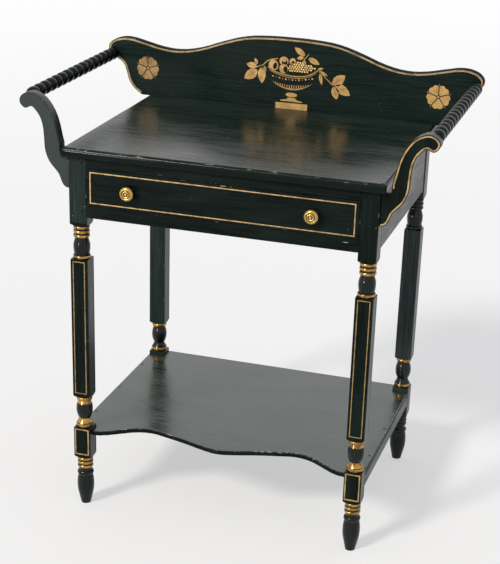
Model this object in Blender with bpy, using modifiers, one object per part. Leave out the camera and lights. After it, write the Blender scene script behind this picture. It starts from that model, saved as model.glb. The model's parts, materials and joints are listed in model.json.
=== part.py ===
# Painted washstand with a scrolled backboard, turned legs, towel bars, a drawer and a low shelf.
# Metres, +Z up. The origin is on the floor, under the middle of the bounding box.
# +X is the viewer's right and the drawer front faces -Y.

import math

import bmesh
import bpy
from mathutils import Matrix, Vector

# The case
case_width = 0.606
case_depth = 0.470
post_size = 0.035
post_edge_bevel = 0.001
top_height = 0.7645
top_thickness = 0.020
top_overhang = 0.011
nosing_radius = 0.0075
top_corner_round = 0.004
case_height = 0.1162

# Gaps: a seat is where two fixed pieces meet, a fit is a pin or tenon in its hole
seat_gap = 0.0003
fit_gap = 0.0003
cut_overrun = 0.002

# Rails and aprons
upper_rail_height = 0.0175
lower_rail_height = 0.024
rail_depth = 0.034
apron_thickness = 0.018
apron_set_back = 0.0015
tenon_thickness = 0.008
tenon_length = 0.015
apron_tenon_shoulder = 0.010
rail_tenon_shoulder = 0.003
peg_diameter = 0.005
peg_length = 0.026
peg_inset = 0.008

# Legs: radii and heights of the turned parts, from the upper block down
ring_radius = 0.0163
ring_height = 0.0088
ring_groove_depth = 0.0020
shoulder_height = 0.0072
block_below_case = 0.0120
vase_height = 0.0344
vase_radius = 0.0166
vase_neck_radius = 0.0127
collar_height = 0.0025
collar_radius = 0.0167
block_above_shelf = 0.005
shelf_block_height = 0.059
shelf_collar_height = 0.004
ball_height = 0.040
ball_radius = 0.0168
ball_neck_radius = 0.0119
bell_height = 0.010
base_neck_height = 0.0059
base_neck_radius = 0.0135
base_ring_height = 0.0100
base_ring_radius = 0.0170
foot_radius = 0.0175
foot_top_radius = 0.0150
foot_bottom_radius = 0.0100
turning_steps = 12
ball_steps = 6

# Shelf
shelf_height = 0.170
shelf_thickness = 0.0095
shelf_recess = 0.058
shelf_back_set_back = 0.003
shelf_rail_height = 0.0235
shelf_rail_thickness = 0.015
shelf_rail_tenon_length = 0.012
shelf_rail_tenon_shoulder = 0.004

# Backboard
backboard_ear_margin = 0.013
backboard_height = 0.147
backboard_thickness = 0.017
backboard_rebate = 0.0015
dowel_diameter = 0.008
dowel_depth_in_top = 0.013
dowel_depth_in_backboard = 0.020
dowel_spacing = 0.220

# Scroll brackets, on the outer sides of the front posts
bracket_thickness = 0.024
bracket_reach = 0.100
bracket_rise = 0.094
bracket_drop = 0.0625
bracket_waist = 0.051
bracket_clearance = 0.008
bracket_screw_inset = 0.013
bracket_screw_diameter = 0.0044
bracket_screw_head_diameter = 0.0085
bracket_screw_head_height = 0.0030
bracket_screw_bite = 0.012
bracket_screw_spacing = 0.022

# Towel bars, from the brackets to the backboard
bar_diameter = 0.027
bar_groove_depth = 0.0045
bar_bead_count = 16
bar_steps = 12
bar_inset = 0.012
bar_below_bracket_top = 0.0105
bar_tenon_diameter = 0.010
bar_tenon_length = 0.012

# Drawer
drawer_side_gap = 0.001
drawer_top_gap = 0.0012
drawer_bottom_gap = 0.0008
drawer_rear_space = 0.0255
drawer_front_thickness = 0.018
drawer_side_thickness = 0.010
drawer_side_below_front = 0.002
drawer_back_thickness = 0.009
drawer_back_inset = 0.012
drawer_back_housing = 0.004
drawer_bottom_thickness = 0.006
drawer_bottom_height = 0.008
drawer_groove_depth = 0.005
drawer_bottom_inset = 0.002
tail_count = 3
tail_length = 0.012
tail_end_width = 0.017
tail_slope = 0.002

# Knobs
knob_spacing = 0.360
knob_projection = 0.020
knob_radius = 0.0145
knob_plate_radius = 0.0085
knob_plate_height = 0.0020
knob_neck_radius = 0.0055
knob_shank_diameter = 0.005
knob_nut_width = 0.012
knob_nut_height = 0.004
knob_steps = 16

# Drawer runners, guides, kickers, stops and the blocks that hold the top
runner_height = 0.016
runner_width = 0.040
guide_height = 0.014
kicker_width = 0.030
stop_height = 0.006
stop_depth = 0.011
stop_width = 0.026
stop_spacing = 0.290
glue_block_size = 0.0165
glue_block_length = 0.060
glue_block_spacing = 0.250

# Nails
nail_diameter = 0.0026
nail_head_diameter = 0.0056
nail_head_height = 0.0012
shelf_nail_length = 0.026
shelf_nail_count = 3
drawer_nail_length = 0.016
drawer_nail_spacing = 0.240
nail_steps = 8

# Outlines, as shares of the sizes that they follow
backboard_shares = (
    (0.124, 0.993), (0.248, 0.958), (0.371, 0.860), (0.495, 0.741), (0.606, 0.688), (0.700, 0.703),
    (0.800, 0.760), (0.885, 0.802), (0.945, 0.782), (0.985, 0.722), (1.000, 0.645), (0.985, 0.545),
    (0.950, 0.492), (0.918, 0.430), (0.900, 0.320), (0.886, 0.192), (0.855, 0.075),
)
backboard_foot_share = 0.812
bracket_inner_shares = (
    (0.037, 0.127), (0.086, 0.329), (0.167, 0.552), (0.288, 0.746), (0.437, 0.893), (0.580, 0.964),
    (0.728, 1.000), (0.870, 0.971), (0.957, 0.913), (1.000, 0.825), (0.957, 0.727), (0.848, 0.671),
)
bracket_notch_share = (0.706, 0.721)
bracket_outer_shares = (
    (0.593, 0.645), (0.495, 0.530), (0.432, 0.373), (0.405, 0.186),
)
bracket_lower_shares = (
    (0.998, 0.000), (0.985, 0.127), (0.912, 0.297), (0.778, 0.455), (0.598, 0.582), (0.441, 0.697),
    (0.353, 0.830), (0.250, 0.950), (0.118, 1.000),
)
bracket_cove_shares = ((0.30, 0.080), (0.62, 0.085), (0.90, 0.350))
bracket_cove_drop_share = 0.33
shelf_front_shares = (
    (0.934, 0.198), (0.794, 0.595), (0.700, 0.870), (0.579, 1.000), (0.450, 0.870), (0.278, 0.638),
    (0.120, 0.380),
)
shelf_leg_share = 0.155
shelf_middle_share = 0.260
vase_shares = ((0.16, 0.42), (0.36, 0.88), (0.58, 1.00), (0.80, 0.84))
vase_foot_share = 0.50
bell_shares = ((0.35, 0.25), (0.70, 0.80), (1.00, 1.00))
base_neck_share = 0.50
foot_shares = ((0.32, 1.000), (0.52, 0.960), (0.70, 0.830), (0.86, 0.690))
knob_face_shares = (
    (0.16, 1.00), (0.24, 0.93), (0.34, 0.97), (0.46, 0.97), (0.54, 0.90), (0.66, 0.92), (0.80, 0.88),
    (0.95, 0.78), (1.00, 0.68), (0.92, 0.58), (0.62, 0.48),
)
knob_neck_shares = (0.36, 0.20)

# Points closer than this are one point
merge_distance = 0.00001

# Places worked out from the sizes above
half_width = case_width / 2
inner_half = half_width - post_size
front_y = knob_projection - (case_depth + knob_projection) / 2
back_y = front_y + case_depth
post_back_y = front_y + post_size
back_post_front_y = back_y - post_size
top_bottom_height = top_height - top_thickness
case_top_height = top_bottom_height - seat_gap
case_bottom_height = case_top_height - case_height
opening_top = case_top_height - upper_rail_height
opening_bottom = case_bottom_height + lower_rail_height
apron_outer = half_width - apron_set_back
apron_inner = apron_outer - apron_thickness
back_apron_inner_y = back_y - apron_set_back - apron_thickness
drawer_length = back_apron_inner_y - drawer_rear_space - front_y
backboard_front_y = back_y - backboard_thickness
drawer_bottom = opening_bottom + drawer_bottom_gap
drawer_top = opening_top - drawer_top_gap
drawer_half = inner_half - drawer_side_gap
drawer_front_back_y = front_y + drawer_front_thickness
knob_height = (drawer_bottom + drawer_top) / 2
bracket_front_y = front_y + (post_size - bracket_thickness) / 2
bracket_back_y = bracket_front_y + bracket_thickness
bar_x = half_width + bracket_reach - bar_inset
bar_height = top_height + bracket_rise - bar_below_bracket_top
backboard_width = 2 * (bar_x + backboard_ear_margin)
corner_radius = post_size / math.sqrt(2) + post_edge_bevel

scene_parts = None
scene_cutters = None


def clear_scene():
    for thing in list(bpy.data.objects):
        bpy.data.objects.remove(thing, do_unlink=True)


def new_collection(name):
    group = bpy.data.collections.new(name)
    bpy.context.scene.collection.children.link(group)
    return group


def new_material(name, colour, roughness, metallic):
    surface = bpy.data.materials.new(name)
    surface.use_nodes = True
    shader = surface.node_tree.nodes["Principled BSDF"]
    shader.inputs["Base Color"].default_value = (*colour, 1)
    shader.inputs["Roughness"].default_value = roughness
    shader.inputs["Metallic"].default_value = metallic
    return surface


def add_object(name, data, group):
    thing = bpy.data.objects.new(name, data)
    group.objects.link(thing)
    if group == scene_cutters:
        thing.hide_render = True
        thing.display_type = "WIRE"
    return thing


def across(side, inner, outer):
    """The low and high X of a piece that lies from inner to outer on one side."""
    return tuple(sorted((side * inner, side * outer)))


def block(name, x, y, z, group=None, bevel=0, vertical_only=False):
    """A box between the low and high values of x, y and z, with its edges eased by bevel."""
    shape = bmesh.new()
    bmesh.ops.create_cube(shape, size=1)
    size = Vector((x[1] - x[0], y[1] - y[0], z[1] - z[0]))
    bmesh.ops.scale(shape, vec=size, verts=shape.verts)
    if bevel:
        edges = [edge for edge in shape.edges if not vertical_only or is_vertical(edge)]
        bmesh.ops.bevel(shape, geom=edges, offset=bevel, segments=1, profile=0.5, affect="EDGES")
    data = bpy.data.meshes.new(name)
    shape.to_mesh(data)
    shape.free()
    thing = add_object(name, data, group or scene_parts)
    thing.location = ((x[0] + x[1]) / 2, (y[0] + y[1]) / 2, (z[0] + z[1]) / 2)
    return thing


def is_vertical(edge):
    start, end = (vertex.co for vertex in edge.verts)
    return abs((end - start).normalized().z) > 0.99


def turned(name, profile, steps, group=None):
    """A solid turned about Z from (radius, height) pairs that run from its top to its bottom."""
    data = bpy.data.meshes.new(name)
    points = [(0, 0, profile[0][1])] + [(radius, 0, height) for radius, height in profile]
    points.append((0, 0, profile[-1][1]))
    data.from_pydata(points, [(i, i + 1) for i in range(len(points) - 1)], [])
    thing = add_object(name, data, group or scene_parts)
    screw = thing.modifiers.new("turn", "SCREW")
    screw.axis = "Z"
    screw.steps = steps
    screw.render_steps = steps
    screw.use_merge_vertices = True
    screw.merge_threshold = merge_distance
    screw.use_smooth_shade = True
    return thing


def point_along(thing, direction, place):
    """Turns a solid made about Z so that its top end points along direction, and puts it at place."""
    thing.rotation_euler = Vector((0, 0, 1)).rotation_difference(Vector(direction)).to_euler()
    thing.location = place
    return thing


def board(name, points, thickness, place, group=None, curved=True, lying=False):
    """A flat board from a closed outline of (across, up, is_corner), standing in XZ or lying flat."""
    curve = bpy.data.curves.new(name, "CURVE")
    curve.dimensions = "2D"
    curve.fill_mode = "BOTH"
    curve.extrude = thickness / 2
    curve.resolution_u = 3
    if curved:
        spline = curve.splines.new("BEZIER")
        spline.bezier_points.add(len(points) - 1)
        for knot, (u, v, corner) in zip(spline.bezier_points, points):
            knot.co = (u, v, 0)
            knot.handle_left_type = "VECTOR" if corner else "AUTO"
            knot.handle_right_type = "VECTOR" if corner else "AUTO"
    else:
        spline = curve.splines.new("POLY")
        spline.points.add(len(points) - 1)
        for knot, (u, v, corner) in zip(spline.points, points):
            knot.co = (u, v, 0, 1)
    spline.use_cyclic_u = True
    outline = add_object(name + "_outline", curve, scene_cutters)
    outline.location = place
    if not lying:
        outline.rotation_euler = (math.pi / 2, 0, 0)
    bpy.context.view_layer.update()
    evaluated = outline.evaluated_get(bpy.context.evaluated_depsgraph_get())
    data = bpy.data.meshes.new_from_object(evaluated)
    shape = bmesh.new()
    shape.from_mesh(data)
    bmesh.ops.remove_doubles(shape, verts=shape.verts, dist=merge_distance)
    bmesh.ops.recalc_face_normals(shape, faces=shape.faces)
    shape.to_mesh(data)
    shape.free()
    data.name = name
    thing = add_object(name, data, group or scene_parts)
    thing.matrix_world = outline.matrix_world.copy()
    bpy.data.objects.remove(outline, do_unlink=True)
    return thing


def combine(thing, other, operation):
    step = thing.modifiers.new(operation.lower(), "BOOLEAN")
    step.operation = operation
    step.object = other
    step.solver = "EXACT"


def finish(thing, surface, sharp_degrees=35):
    thing.data.materials.clear()
    thing.data.materials.append(surface)
    if not any(step.type == "SCREW" for step in thing.modifiers):
        thing.data.shade_smooth()
        thing.data.set_sharp_from_angle(angle=math.radians(sharp_degrees))
    return thing


def bead(radius, depth, top, bottom, points=2):
    """A half-round ring between two grooves, as profile points below its upper groove."""
    out = []
    for i in range(1, points + 1):
        share = i / (points + 1)
        swell = math.sin(math.pi * share) ** 0.6
        out.append((radius - depth + depth * swell, top + (bottom - top) * share))
    out.append((radius - depth, bottom))
    return out


def rounded_shoulder(inner_radius, corner_height, round_height):
    """The turner's rounded corner of a square block, from its corner to the turned part."""
    out = []
    for angle in (0, 45, 90):
        turn = math.radians(angle)
        radius = inner_radius + (corner_radius - inner_radius) * math.cos(turn)
        out.append((radius, corner_height + (round_height - corner_height) * math.sin(turn)))
    return out


def between(low, high, share):
    return low + (high - low) * share


def leg_levels():
    """Heights of the leg's blocks and turned parts, worked out from the case and the shelf."""
    levels = {}
    levels["upper_block"] = case_bottom_height - block_below_case
    levels["upper_rings"] = levels["upper_block"] - shoulder_height
    levels["vase"] = levels["upper_rings"] - 3 * ring_height
    levels["collar"] = levels["vase"] - vase_height
    levels["long_block_top"] = levels["collar"] - collar_height - shoulder_height
    levels["shelf_block_top"] = shelf_height + block_above_shelf
    levels["bell_foot"] = levels["shelf_block_top"] + shoulder_height + shelf_collar_height
    levels["ball_foot"] = levels["bell_foot"] + bell_height
    levels["ball_top"] = levels["ball_foot"] + ball_height
    levels["long_block_bottom"] = levels["ball_top"] + ring_height + shoulder_height
    levels["shelf_block_bottom"] = levels["shelf_block_top"] - shelf_block_height
    levels["lower_rings"] = levels["shelf_block_bottom"] - shoulder_height
    levels["base_neck"] = levels["lower_rings"] - 3 * ring_height
    levels["base_ring"] = levels["base_neck"] - base_neck_height
    levels["foot"] = levels["base_ring"] - base_ring_height
    return levels


def leg_profile():
    at = leg_levels()
    groove = ring_radius - ring_groove_depth
    out = [(corner_radius, case_top_height)]
    out += rounded_shoulder(groove, at["upper_block"], at["upper_rings"])
    for ring in range(3):
        top = at["upper_rings"] - ring * ring_height
        out += bead(ring_radius, ring_groove_depth, top, top - ring_height)
    out.append((vase_neck_radius, at["vase"]))
    for down, swell in vase_shares:
        radius = between(vase_neck_radius, vase_radius, swell)
        out.append((radius, at["vase"] - vase_height * down))
    out.append((between(vase_neck_radius, vase_radius, vase_foot_share), at["collar"]))
    out.append((collar_radius, at["collar"]))
    out.append((collar_radius, at["collar"] - collar_height))
    long_corner = rounded_shoulder(collar_radius, at["long_block_top"], at["collar"] - collar_height)
    out += reversed(long_corner[:-1])
    out += rounded_shoulder(groove, at["long_block_bottom"], at["long_block_bottom"] - shoulder_height)
    out += bead(ring_radius, ring_groove_depth, at["ball_top"] + ring_height, at["ball_top"])
    out.append((ball_neck_radius, at["ball_top"]))
    for step in range(1, ball_steps):
        down = step / ball_steps
        swell = math.sin(math.pi * down) ** 0.8
        out.append((between(ball_neck_radius, ball_radius, swell), at["ball_top"] - ball_height * down))
    out.append((ball_neck_radius, at["ball_foot"]))
    for down, swell in bell_shares:
        radius = between(ball_neck_radius, collar_radius, swell)
        out.append((radius, at["ball_foot"] - bell_height * down))
    out.append((collar_radius, at["bell_foot"] - shelf_collar_height))
    collar_foot = at["bell_foot"] - shelf_collar_height
    out += reversed(rounded_shoulder(collar_radius, at["shelf_block_top"], collar_foot)[:-1])
    out += rounded_shoulder(groove, at["shelf_block_bottom"], at["lower_rings"])
    for ring in range(3):
        top = at["lower_rings"] - ring * ring_height
        out += bead(ring_radius, ring_groove_depth, top, top - ring_height)
    out.append((base_neck_radius, between(at["base_neck"], at["base_ring"], base_neck_share)))
    out.append((groove, at["base_ring"]))
    out += bead(base_ring_radius, base_ring_radius - groove, at["base_ring"], at["foot"])
    out.append((foot_top_radius, at["foot"]))
    for down, swell in foot_shares:
        out.append((foot_radius * swell, at["foot"] * (1 - down)))
    out.append((foot_bottom_radius, 0))
    return out


def make_leg(name, side, end, holes):
    """One leg: a square length of wood, cut back to the turned shape and mortised for the rails."""
    x = across(side, inner_half, half_width)
    y = (front_y, post_back_y) if end == "front" else (back_post_front_y, back_y)
    leg = block(name, x, y, (0, case_top_height), bevel=post_edge_bevel, vertical_only=True)
    shape = turned(name + "_turning", leg_profile(), turning_steps, scene_cutters)
    shape.location = ((x[0] + x[1]) / 2, (y[0] + y[1]) / 2, 0)
    shape.rotation_euler.z = math.pi / turning_steps
    combine(leg, shape, "INTERSECT")
    for hole in holes:
        combine(leg, hole, "DIFFERENCE")
    return leg


def tenoned(name, x, y, z, axis, tenon_a, tenon_b, length):
    """A rail with a tenon at both ends, and the cutter for the mortises that take it.

    tenon_a and tenon_b are the low and high values of the tenon on the two axes across the rail."""
    body = block(name, x, y, z)
    spans = [x, y, z]
    others = [i for i in range(3) if i != axis]
    tenon = [None, None, None]
    tenon[axis] = (spans[axis][0] - length, spans[axis][1] + length)
    tenon[others[0]] = tenon_a
    tenon[others[1]] = tenon_b
    combine(body, block(name + "_tenons", *tenon, group=scene_cutters), "UNION")
    grown = [(low - fit_gap, high + fit_gap) for low, high in tenon]
    return body, block(name + "_mortises", *grown, group=scene_cutters)


def make_front_rails():
    x = (-inner_half + seat_gap, inner_half - seat_gap)
    y = (front_y, front_y + rail_depth)
    tenon_y = ((y[0] + y[1] - tenon_thickness) / 2, (y[0] + y[1] + tenon_thickness) / 2)
    upper_z = (opening_top, case_top_height)
    upper_tenon = (opening_top + rail_tenon_shoulder, case_top_height - rail_tenon_shoulder)
    upper = tenoned("front_upper_rail", x, y, upper_z, 0, tenon_y, upper_tenon, tenon_length)
    lower_z = (case_bottom_height, opening_bottom)
    lower_tenon = (case_bottom_height + rail_tenon_shoulder, opening_bottom - rail_tenon_shoulder)
    lower = tenoned("front_lower_rail", x, y, lower_z, 0, tenon_y, lower_tenon, tenon_length)
    return upper, lower


def make_side_apron(name, side):
    y = (post_back_y + seat_gap, back_post_front_y - seat_gap)
    z = (case_bottom_height, case_top_height)
    middle = (apron_outer + apron_inner) / 2
    tenon_x = across(side, middle - tenon_thickness / 2, middle + tenon_thickness / 2)
    tenon_z = (z[0] + apron_tenon_shoulder, z[1] - apron_tenon_shoulder)
    x = across(side, apron_inner, apron_outer)
    return tenoned(name, x, y, z, 1, tenon_x, tenon_z, tenon_length)


def make_back_apron():
    x = (-inner_half + seat_gap, inner_half - seat_gap)
    y = (back_apron_inner_y, back_apron_inner_y + apron_thickness)
    z = (case_bottom_height, case_top_height)
    middle = (y[0] + y[1]) / 2
    tenon_y = (middle - tenon_thickness / 2, middle + tenon_thickness / 2)
    tenon_z = (z[0] + apron_tenon_shoulder, z[1] - apron_tenon_shoulder)
    return tenoned("back_apron", x, y, z, 0, tenon_y, tenon_z, tenon_length)


def make_shelf_rail(name, side):
    y = (post_back_y + seat_gap, back_post_front_y - seat_gap)
    top = shelf_height - shelf_thickness - seat_gap
    z = (top - shelf_rail_height, top)
    x = across(side, half_width - shelf_rail_thickness, half_width)
    middle = side * (half_width - shelf_rail_thickness / 2)
    tenon_x = (middle - tenon_thickness / 2, middle + tenon_thickness / 2)
    tenon_z = (z[0] + shelf_rail_tenon_shoulder, z[1] - shelf_rail_tenon_shoulder)
    return tenoned(name, x, y, z, 1, tenon_x, tenon_z, shelf_rail_tenon_length)


def pin(name, radius, length, steps, direction, place, group=None):
    """A plain round pin that starts at place and runs back from the way direction points."""
    thing = turned(name, [(radius, 0), (radius, -length)], steps, group)
    return point_along(thing, direction, place)


def headed_pin(name, sizes, direction, place, group=None, grow=0, countersunk=False):
    """A nail or screw with its head's face at place, looking along direction; grow gives its hole."""
    head, head_height, shank, length = sizes
    start = cut_overrun if grow else 0
    profile = [(head / 2 + grow, start)]
    if not countersunk:
        profile.append((head / 2 + grow, -head_height - grow))
    elif grow:
        profile.append((head / 2 + grow, 0))
    profile.append((shank / 2 + grow, -head_height - grow))
    profile.append((shank / 2 + grow, -length - grow))
    return point_along(turned(name, profile, nail_steps, group), direction, place)


def make_pegs(rails):
    """Wooden pegs through the front posts and the tenons of the two front rails."""
    pegs, holes = [], {"left": [], "right": []}
    upper = (opening_top + case_top_height) / 2
    lower = (case_bottom_height + opening_bottom) / 2
    for side_name, side in (("left", -1), ("right", 1)):
        for (level, height), rail in zip((("upper", upper), ("lower", lower)), rails):
            name = "peg_%s_%s" % (side_name, level)
            place = (side * (inner_half + peg_inset), front_y, height)
            pegs.append(pin(name, peg_diameter / 2, peg_length, nail_steps, (0, -1, 0), place))
            start = (place[0], front_y - cut_overrun, height)
            length = peg_length + cut_overrun + fit_gap
            radius = peg_diameter / 2 + fit_gap
            hole = pin(name + "_hole", radius, length, nail_steps, (0, -1, 0), start, scene_cutters)
            combine(rail, hole, "DIFFERENCE")
            holes[side_name].append(hole)
    return pegs, holes


def make_top():
    shape = bmesh.new()
    bmesh.ops.create_cube(shape, size=1)
    width = case_width + 2 * top_overhang
    depth = case_depth + top_overhang
    bmesh.ops.scale(shape, vec=(width, depth, top_thickness), verts=shape.verts)
    front_corners = [e for e in shape.edges if is_vertical(e) and e.verts[0].co.y < 0]
    rounding = {"segments": 3, "profile": 0.5, "affect": "EDGES"}
    bmesh.ops.bevel(shape, geom=front_corners, offset=top_corner_round, **rounding)
    rims = []
    for edge in shape.edges:
        start, end = (vertex.co for vertex in edge.verts)
        level = abs(start.z - end.z) < top_thickness / 2
        at_back = min(start.y, end.y) > depth / 2 - top_corner_round / 2
        if level and not at_back:
            rims.append(edge)
    bmesh.ops.bevel(shape, geom=rims, offset=nosing_radius, **rounding)
    data = bpy.data.meshes.new("top_board")
    shape.to_mesh(data)
    shape.free()
    thing = add_object("top_board", data, scene_parts)
    thing.location = (0, back_y - depth / 2, top_height - top_thickness / 2)
    half = width / 2 + cut_overrun
    seat_y = (backboard_front_y - seat_gap, back_y + cut_overrun)
    seat_z = (top_height - backboard_rebate, top_height + cut_overrun)
    combine(thing, block("backboard_seat", (-half, half), seat_y, seat_z, scene_cutters), "DIFFERENCE")
    return thing


def make_backboard():
    """The scrolled board, which stands in a shallow rebate along the back of the top."""
    half = backboard_width / 2
    foot_height = seat_gap - backboard_rebate
    right = []
    for out_share, up_share in backboard_shares:
        right.append((half * out_share, backboard_height * up_share, False))
    foot = (half * backboard_foot_share, foot_height, True)
    points = [(0, backboard_height, False)] + right + [foot]
    points.append((-foot[0], foot_height, True))
    points += [(-u, v, corner) for u, v, corner in reversed(right)]
    place = (0, back_y - backboard_thickness / 2, top_height)
    return board("backboard", points, backboard_thickness, place)


def make_dowels(top, backboard):
    dowels = []
    middle = back_y - backboard_thickness / 2
    upper = top_height - backboard_rebate + seat_gap + dowel_depth_in_backboard
    length = dowel_depth_in_top + dowel_depth_in_backboard + seat_gap
    for name, step in (("left", -1), ("middle", 0), ("right", 1)):
        place = (step * dowel_spacing, middle, upper)
        radius = dowel_diameter / 2
        dowels.append(pin("backboard_dowel_" + name, radius, length, nail_steps, (0, 0, 1), place))
        above = (place[0], middle, upper + fit_gap)
        radius = dowel_diameter / 2 + fit_gap
        hole_name = "backboard_dowel_%s_hole" % name
        hole = pin(hole_name, radius, length + 2 * fit_gap, nail_steps, (0, 0, 1), above, scene_cutters)
        combine(top, hole, "DIFFERENCE")
        combine(backboard, hole, "DIFFERENCE")
    return dowels


def bracket_outline(side):
    """The S-scroll: up the inner edge from the post, round the curl, and down the outer edge."""
    inner = top_overhang + bracket_clearance
    cove_drop = top_thickness * bracket_cove_drop_share
    points = [(0, top_bottom_height - cove_drop, True)]
    for out_share, up_share in bracket_cove_shares:
        points.append((inner * out_share, top_bottom_height - cove_drop + top_thickness * up_share, False))
    points.append((inner, top_height, False))
    for out_share, up_share in bracket_inner_shares + (bracket_notch_share,) + bracket_outer_shares:
        reach = between(inner, bracket_reach, out_share)
        points.append((reach, top_height + bracket_rise * up_share, False))
    bottom = top_bottom_height - bracket_drop
    for out_share, down_share in bracket_lower_shares:
        points.append((bracket_waist * out_share, between(top_height, bottom, down_share), False))
    points.append((0, bottom, True))
    return [(side * (half_width + seat_gap + u), v, corner) for u, v, corner in points]


def make_bracket(name, side):
    place = (0, (bracket_front_y + bracket_back_y) / 2, 0)
    return board(name, bracket_outline(side), bracket_thickness, place)


def make_bracket_screws(name, side, bracket):
    """Two screws from inside the case, through the post and into the scroll bracket."""
    screws, holes = [], []
    length = post_size + seat_gap + bracket_screw_bite
    y = front_y + bracket_screw_inset
    middle = top_bottom_height - bracket_drop + bracket_screw_spacing
    for level, step in (("upper", 1), ("lower", 0)):
        z = middle + (step - 0.5) * bracket_screw_spacing
        place = (side * inner_half, y, z)
        sizes = (bracket_screw_head_diameter, bracket_screw_head_height, bracket_screw_diameter, length)
        title = "%s_%s" % (name, level)
        screws.append(headed_pin(title, sizes, (-side, 0, 0), place, countersunk=True))
        hole = headed_pin(title + "_hole", sizes, (-side, 0, 0), place, scene_cutters, fit_gap, True)
        combine(bracket, hole, "DIFFERENCE")
        holes.append(hole)
    return screws, holes


def make_towel_bar(name, side, bracket, backboard):
    """A ring-turned bar with a round tenon at both ends."""
    start = bracket_back_y + seat_gap
    length = backboard_front_y - seat_gap - start
    pitch = length / bar_bead_count
    groove = bar_diameter / 2 - bar_groove_depth
    tenon = bar_tenon_diameter / 2
    profile = [(tenon, length + bar_tenon_length), (tenon, length), (groove, length)]
    for i in range(bar_bead_count):
        top = length - i * pitch
        profile += bead(bar_diameter / 2, bar_groove_depth, top, top - pitch)
    profile += [(tenon, 0), (tenon, -bar_tenon_length)]
    bar = point_along(turned(name, profile, bar_steps), (0, 1, 0), (side * bar_x, start, bar_height))
    radius = tenon + fit_gap
    depth = bar_tenon_length + fit_gap
    ends = (("front", bracket, start, -1), ("rear", backboard, start + length, 1))
    for title, carrier, face, way in ends:
        end = (side * bar_x, face + way * depth, bar_height)
        hole_name = "%s_%s_hole" % (name, title)
        hole = pin(hole_name, radius, depth + cut_overrun, bar_steps, (0, way, 0), end, scene_cutters)
        combine(carrier, hole, "DIFFERENCE")
    return bar


def make_shelf():
    """The low shelf: notched round the four legs, with a serpentine front between the front legs."""
    half = half_width
    gap = seat_gap
    leg = inner_half - gap
    front = front_y + shelf_recess * shelf_leg_share
    back = back_y - shelf_back_set_back
    right = [(0, front_y + shelf_recess * shelf_middle_share, False)]
    for along_share, in_share in reversed(shelf_front_shares):
        right.append((leg * along_share, front_y + shelf_recess * in_share, False))
    right.append((leg, front, True))
    right.append((leg, post_back_y + gap, True))
    right.append((half, post_back_y + gap, True))
    right.append((half, back_post_front_y - gap, True))
    right.append((leg, back_post_front_y - gap, True))
    right.append((leg, back, True))
    left = [(-u, v, corner) for u, v, corner in reversed(right[1:])]
    place = (0, 0, shelf_height - shelf_thickness / 2)
    return board("shelf", right + left, shelf_thickness, place, lying=True)


def make_shelf_nails(side_name, side, shelf, rail):
    nails = []
    x = side * (half_width - shelf_rail_thickness / 2)
    span = back_post_front_y - post_back_y
    for i in range(shelf_nail_count):
        y = post_back_y + span * (i + 0.5) / shelf_nail_count
        sizes = (nail_head_diameter, nail_head_height, nail_diameter, shelf_nail_length)
        name = "shelf_nail_%s_%d" % (side_name, i + 1)
        place = (x, y, shelf_height)
        nails.append(headed_pin(name, sizes, (0, 0, 1), place))
        hole = headed_pin(name + "_hole", sizes, (0, 0, 1), place, scene_cutters, fit_gap)
        combine(shelf, hole, "DIFFERENCE")
        combine(rail, hole, "DIFFERENCE")
    return nails


def tails(front_end, base, grow):
    """The dovetails on a drawer side, as outlines in Y and Z from the base to the tail ends."""
    low = drawer_bottom
    high = drawer_top - drawer_side_below_front
    pitch = (high - low) / tail_count
    out = []
    for i in range(tail_count):
        middle = low + pitch * (i + 0.5)
        wide = tail_end_width / 2 + grow
        narrow = wide - tail_slope * (base - front_end) / tail_length
        lower = [(base, middle - narrow), (front_end, middle - wide)]
        upper = [(front_end, middle + wide), (base, middle + narrow)]
        out.append(lower + upper)
    return out


def yz_board(name, outline, x, group=None):
    """A flat board in the YZ plane, from an outline of (y, z) and the low and high x."""
    points = [(u, v, True) for u, v in outline]
    thing = board(name, points, x[1] - x[0], (0, 0, 0), group, curved=False)
    turn = Matrix.Rotation(math.pi / 2, 4, "Z")
    thing.data.transform(Matrix.Rotation(math.pi / 2, 4, "X"))
    thing.data.transform(turn)
    thing.matrix_world = Matrix.Translation(((x[0] + x[1]) / 2, 0, 0))
    return thing


def make_drawer_side(name, side, front):
    """A drawer side with dovetails at the front, a groove for the bottom and a housing for the back."""
    base = drawer_front_back_y + fit_gap
    rear = front_y + drawer_length
    low = drawer_bottom
    high = drawer_top - drawer_side_below_front
    outline = [(base, low)]
    for tail in tails(base - tail_length, base, 0):
        outline += tail
    outline += [(base, high), (rear, high), (rear, low)]
    inner = drawer_half - drawer_side_thickness
    thing = yz_board(name, outline, across(side, inner, drawer_half))
    socket_x = across(side, inner - fit_gap, drawer_half + cut_overrun)
    for i, tail in enumerate(tails(base - tail_length - fit_gap, base + cut_overrun, fit_gap)):
        combine(front, yz_board("%s_socket_%d" % (name, i), tail, socket_x, scene_cutters), "DIFFERENCE")
    groove_x = across(side, inner - cut_overrun, inner + drawer_groove_depth)
    floor = drawer_bottom + drawer_bottom_height
    groove_z = (floor - fit_gap, floor + drawer_bottom_thickness + fit_gap)
    groove_y = (front_y, rear + cut_overrun)
    combine(thing, block(name + "_groove", groove_x, groove_y, groove_z, scene_cutters), "DIFFERENCE")
    back = rear - drawer_back_inset
    housing_x = across(side, inner - cut_overrun, inner + drawer_back_housing)
    housing_y = (back - drawer_back_thickness - fit_gap, back + fit_gap)
    housing_z = (floor, high + cut_overrun)
    combine(thing, block(name + "_housing", housing_x, housing_y, housing_z, scene_cutters), "DIFFERENCE")
    return thing


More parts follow.
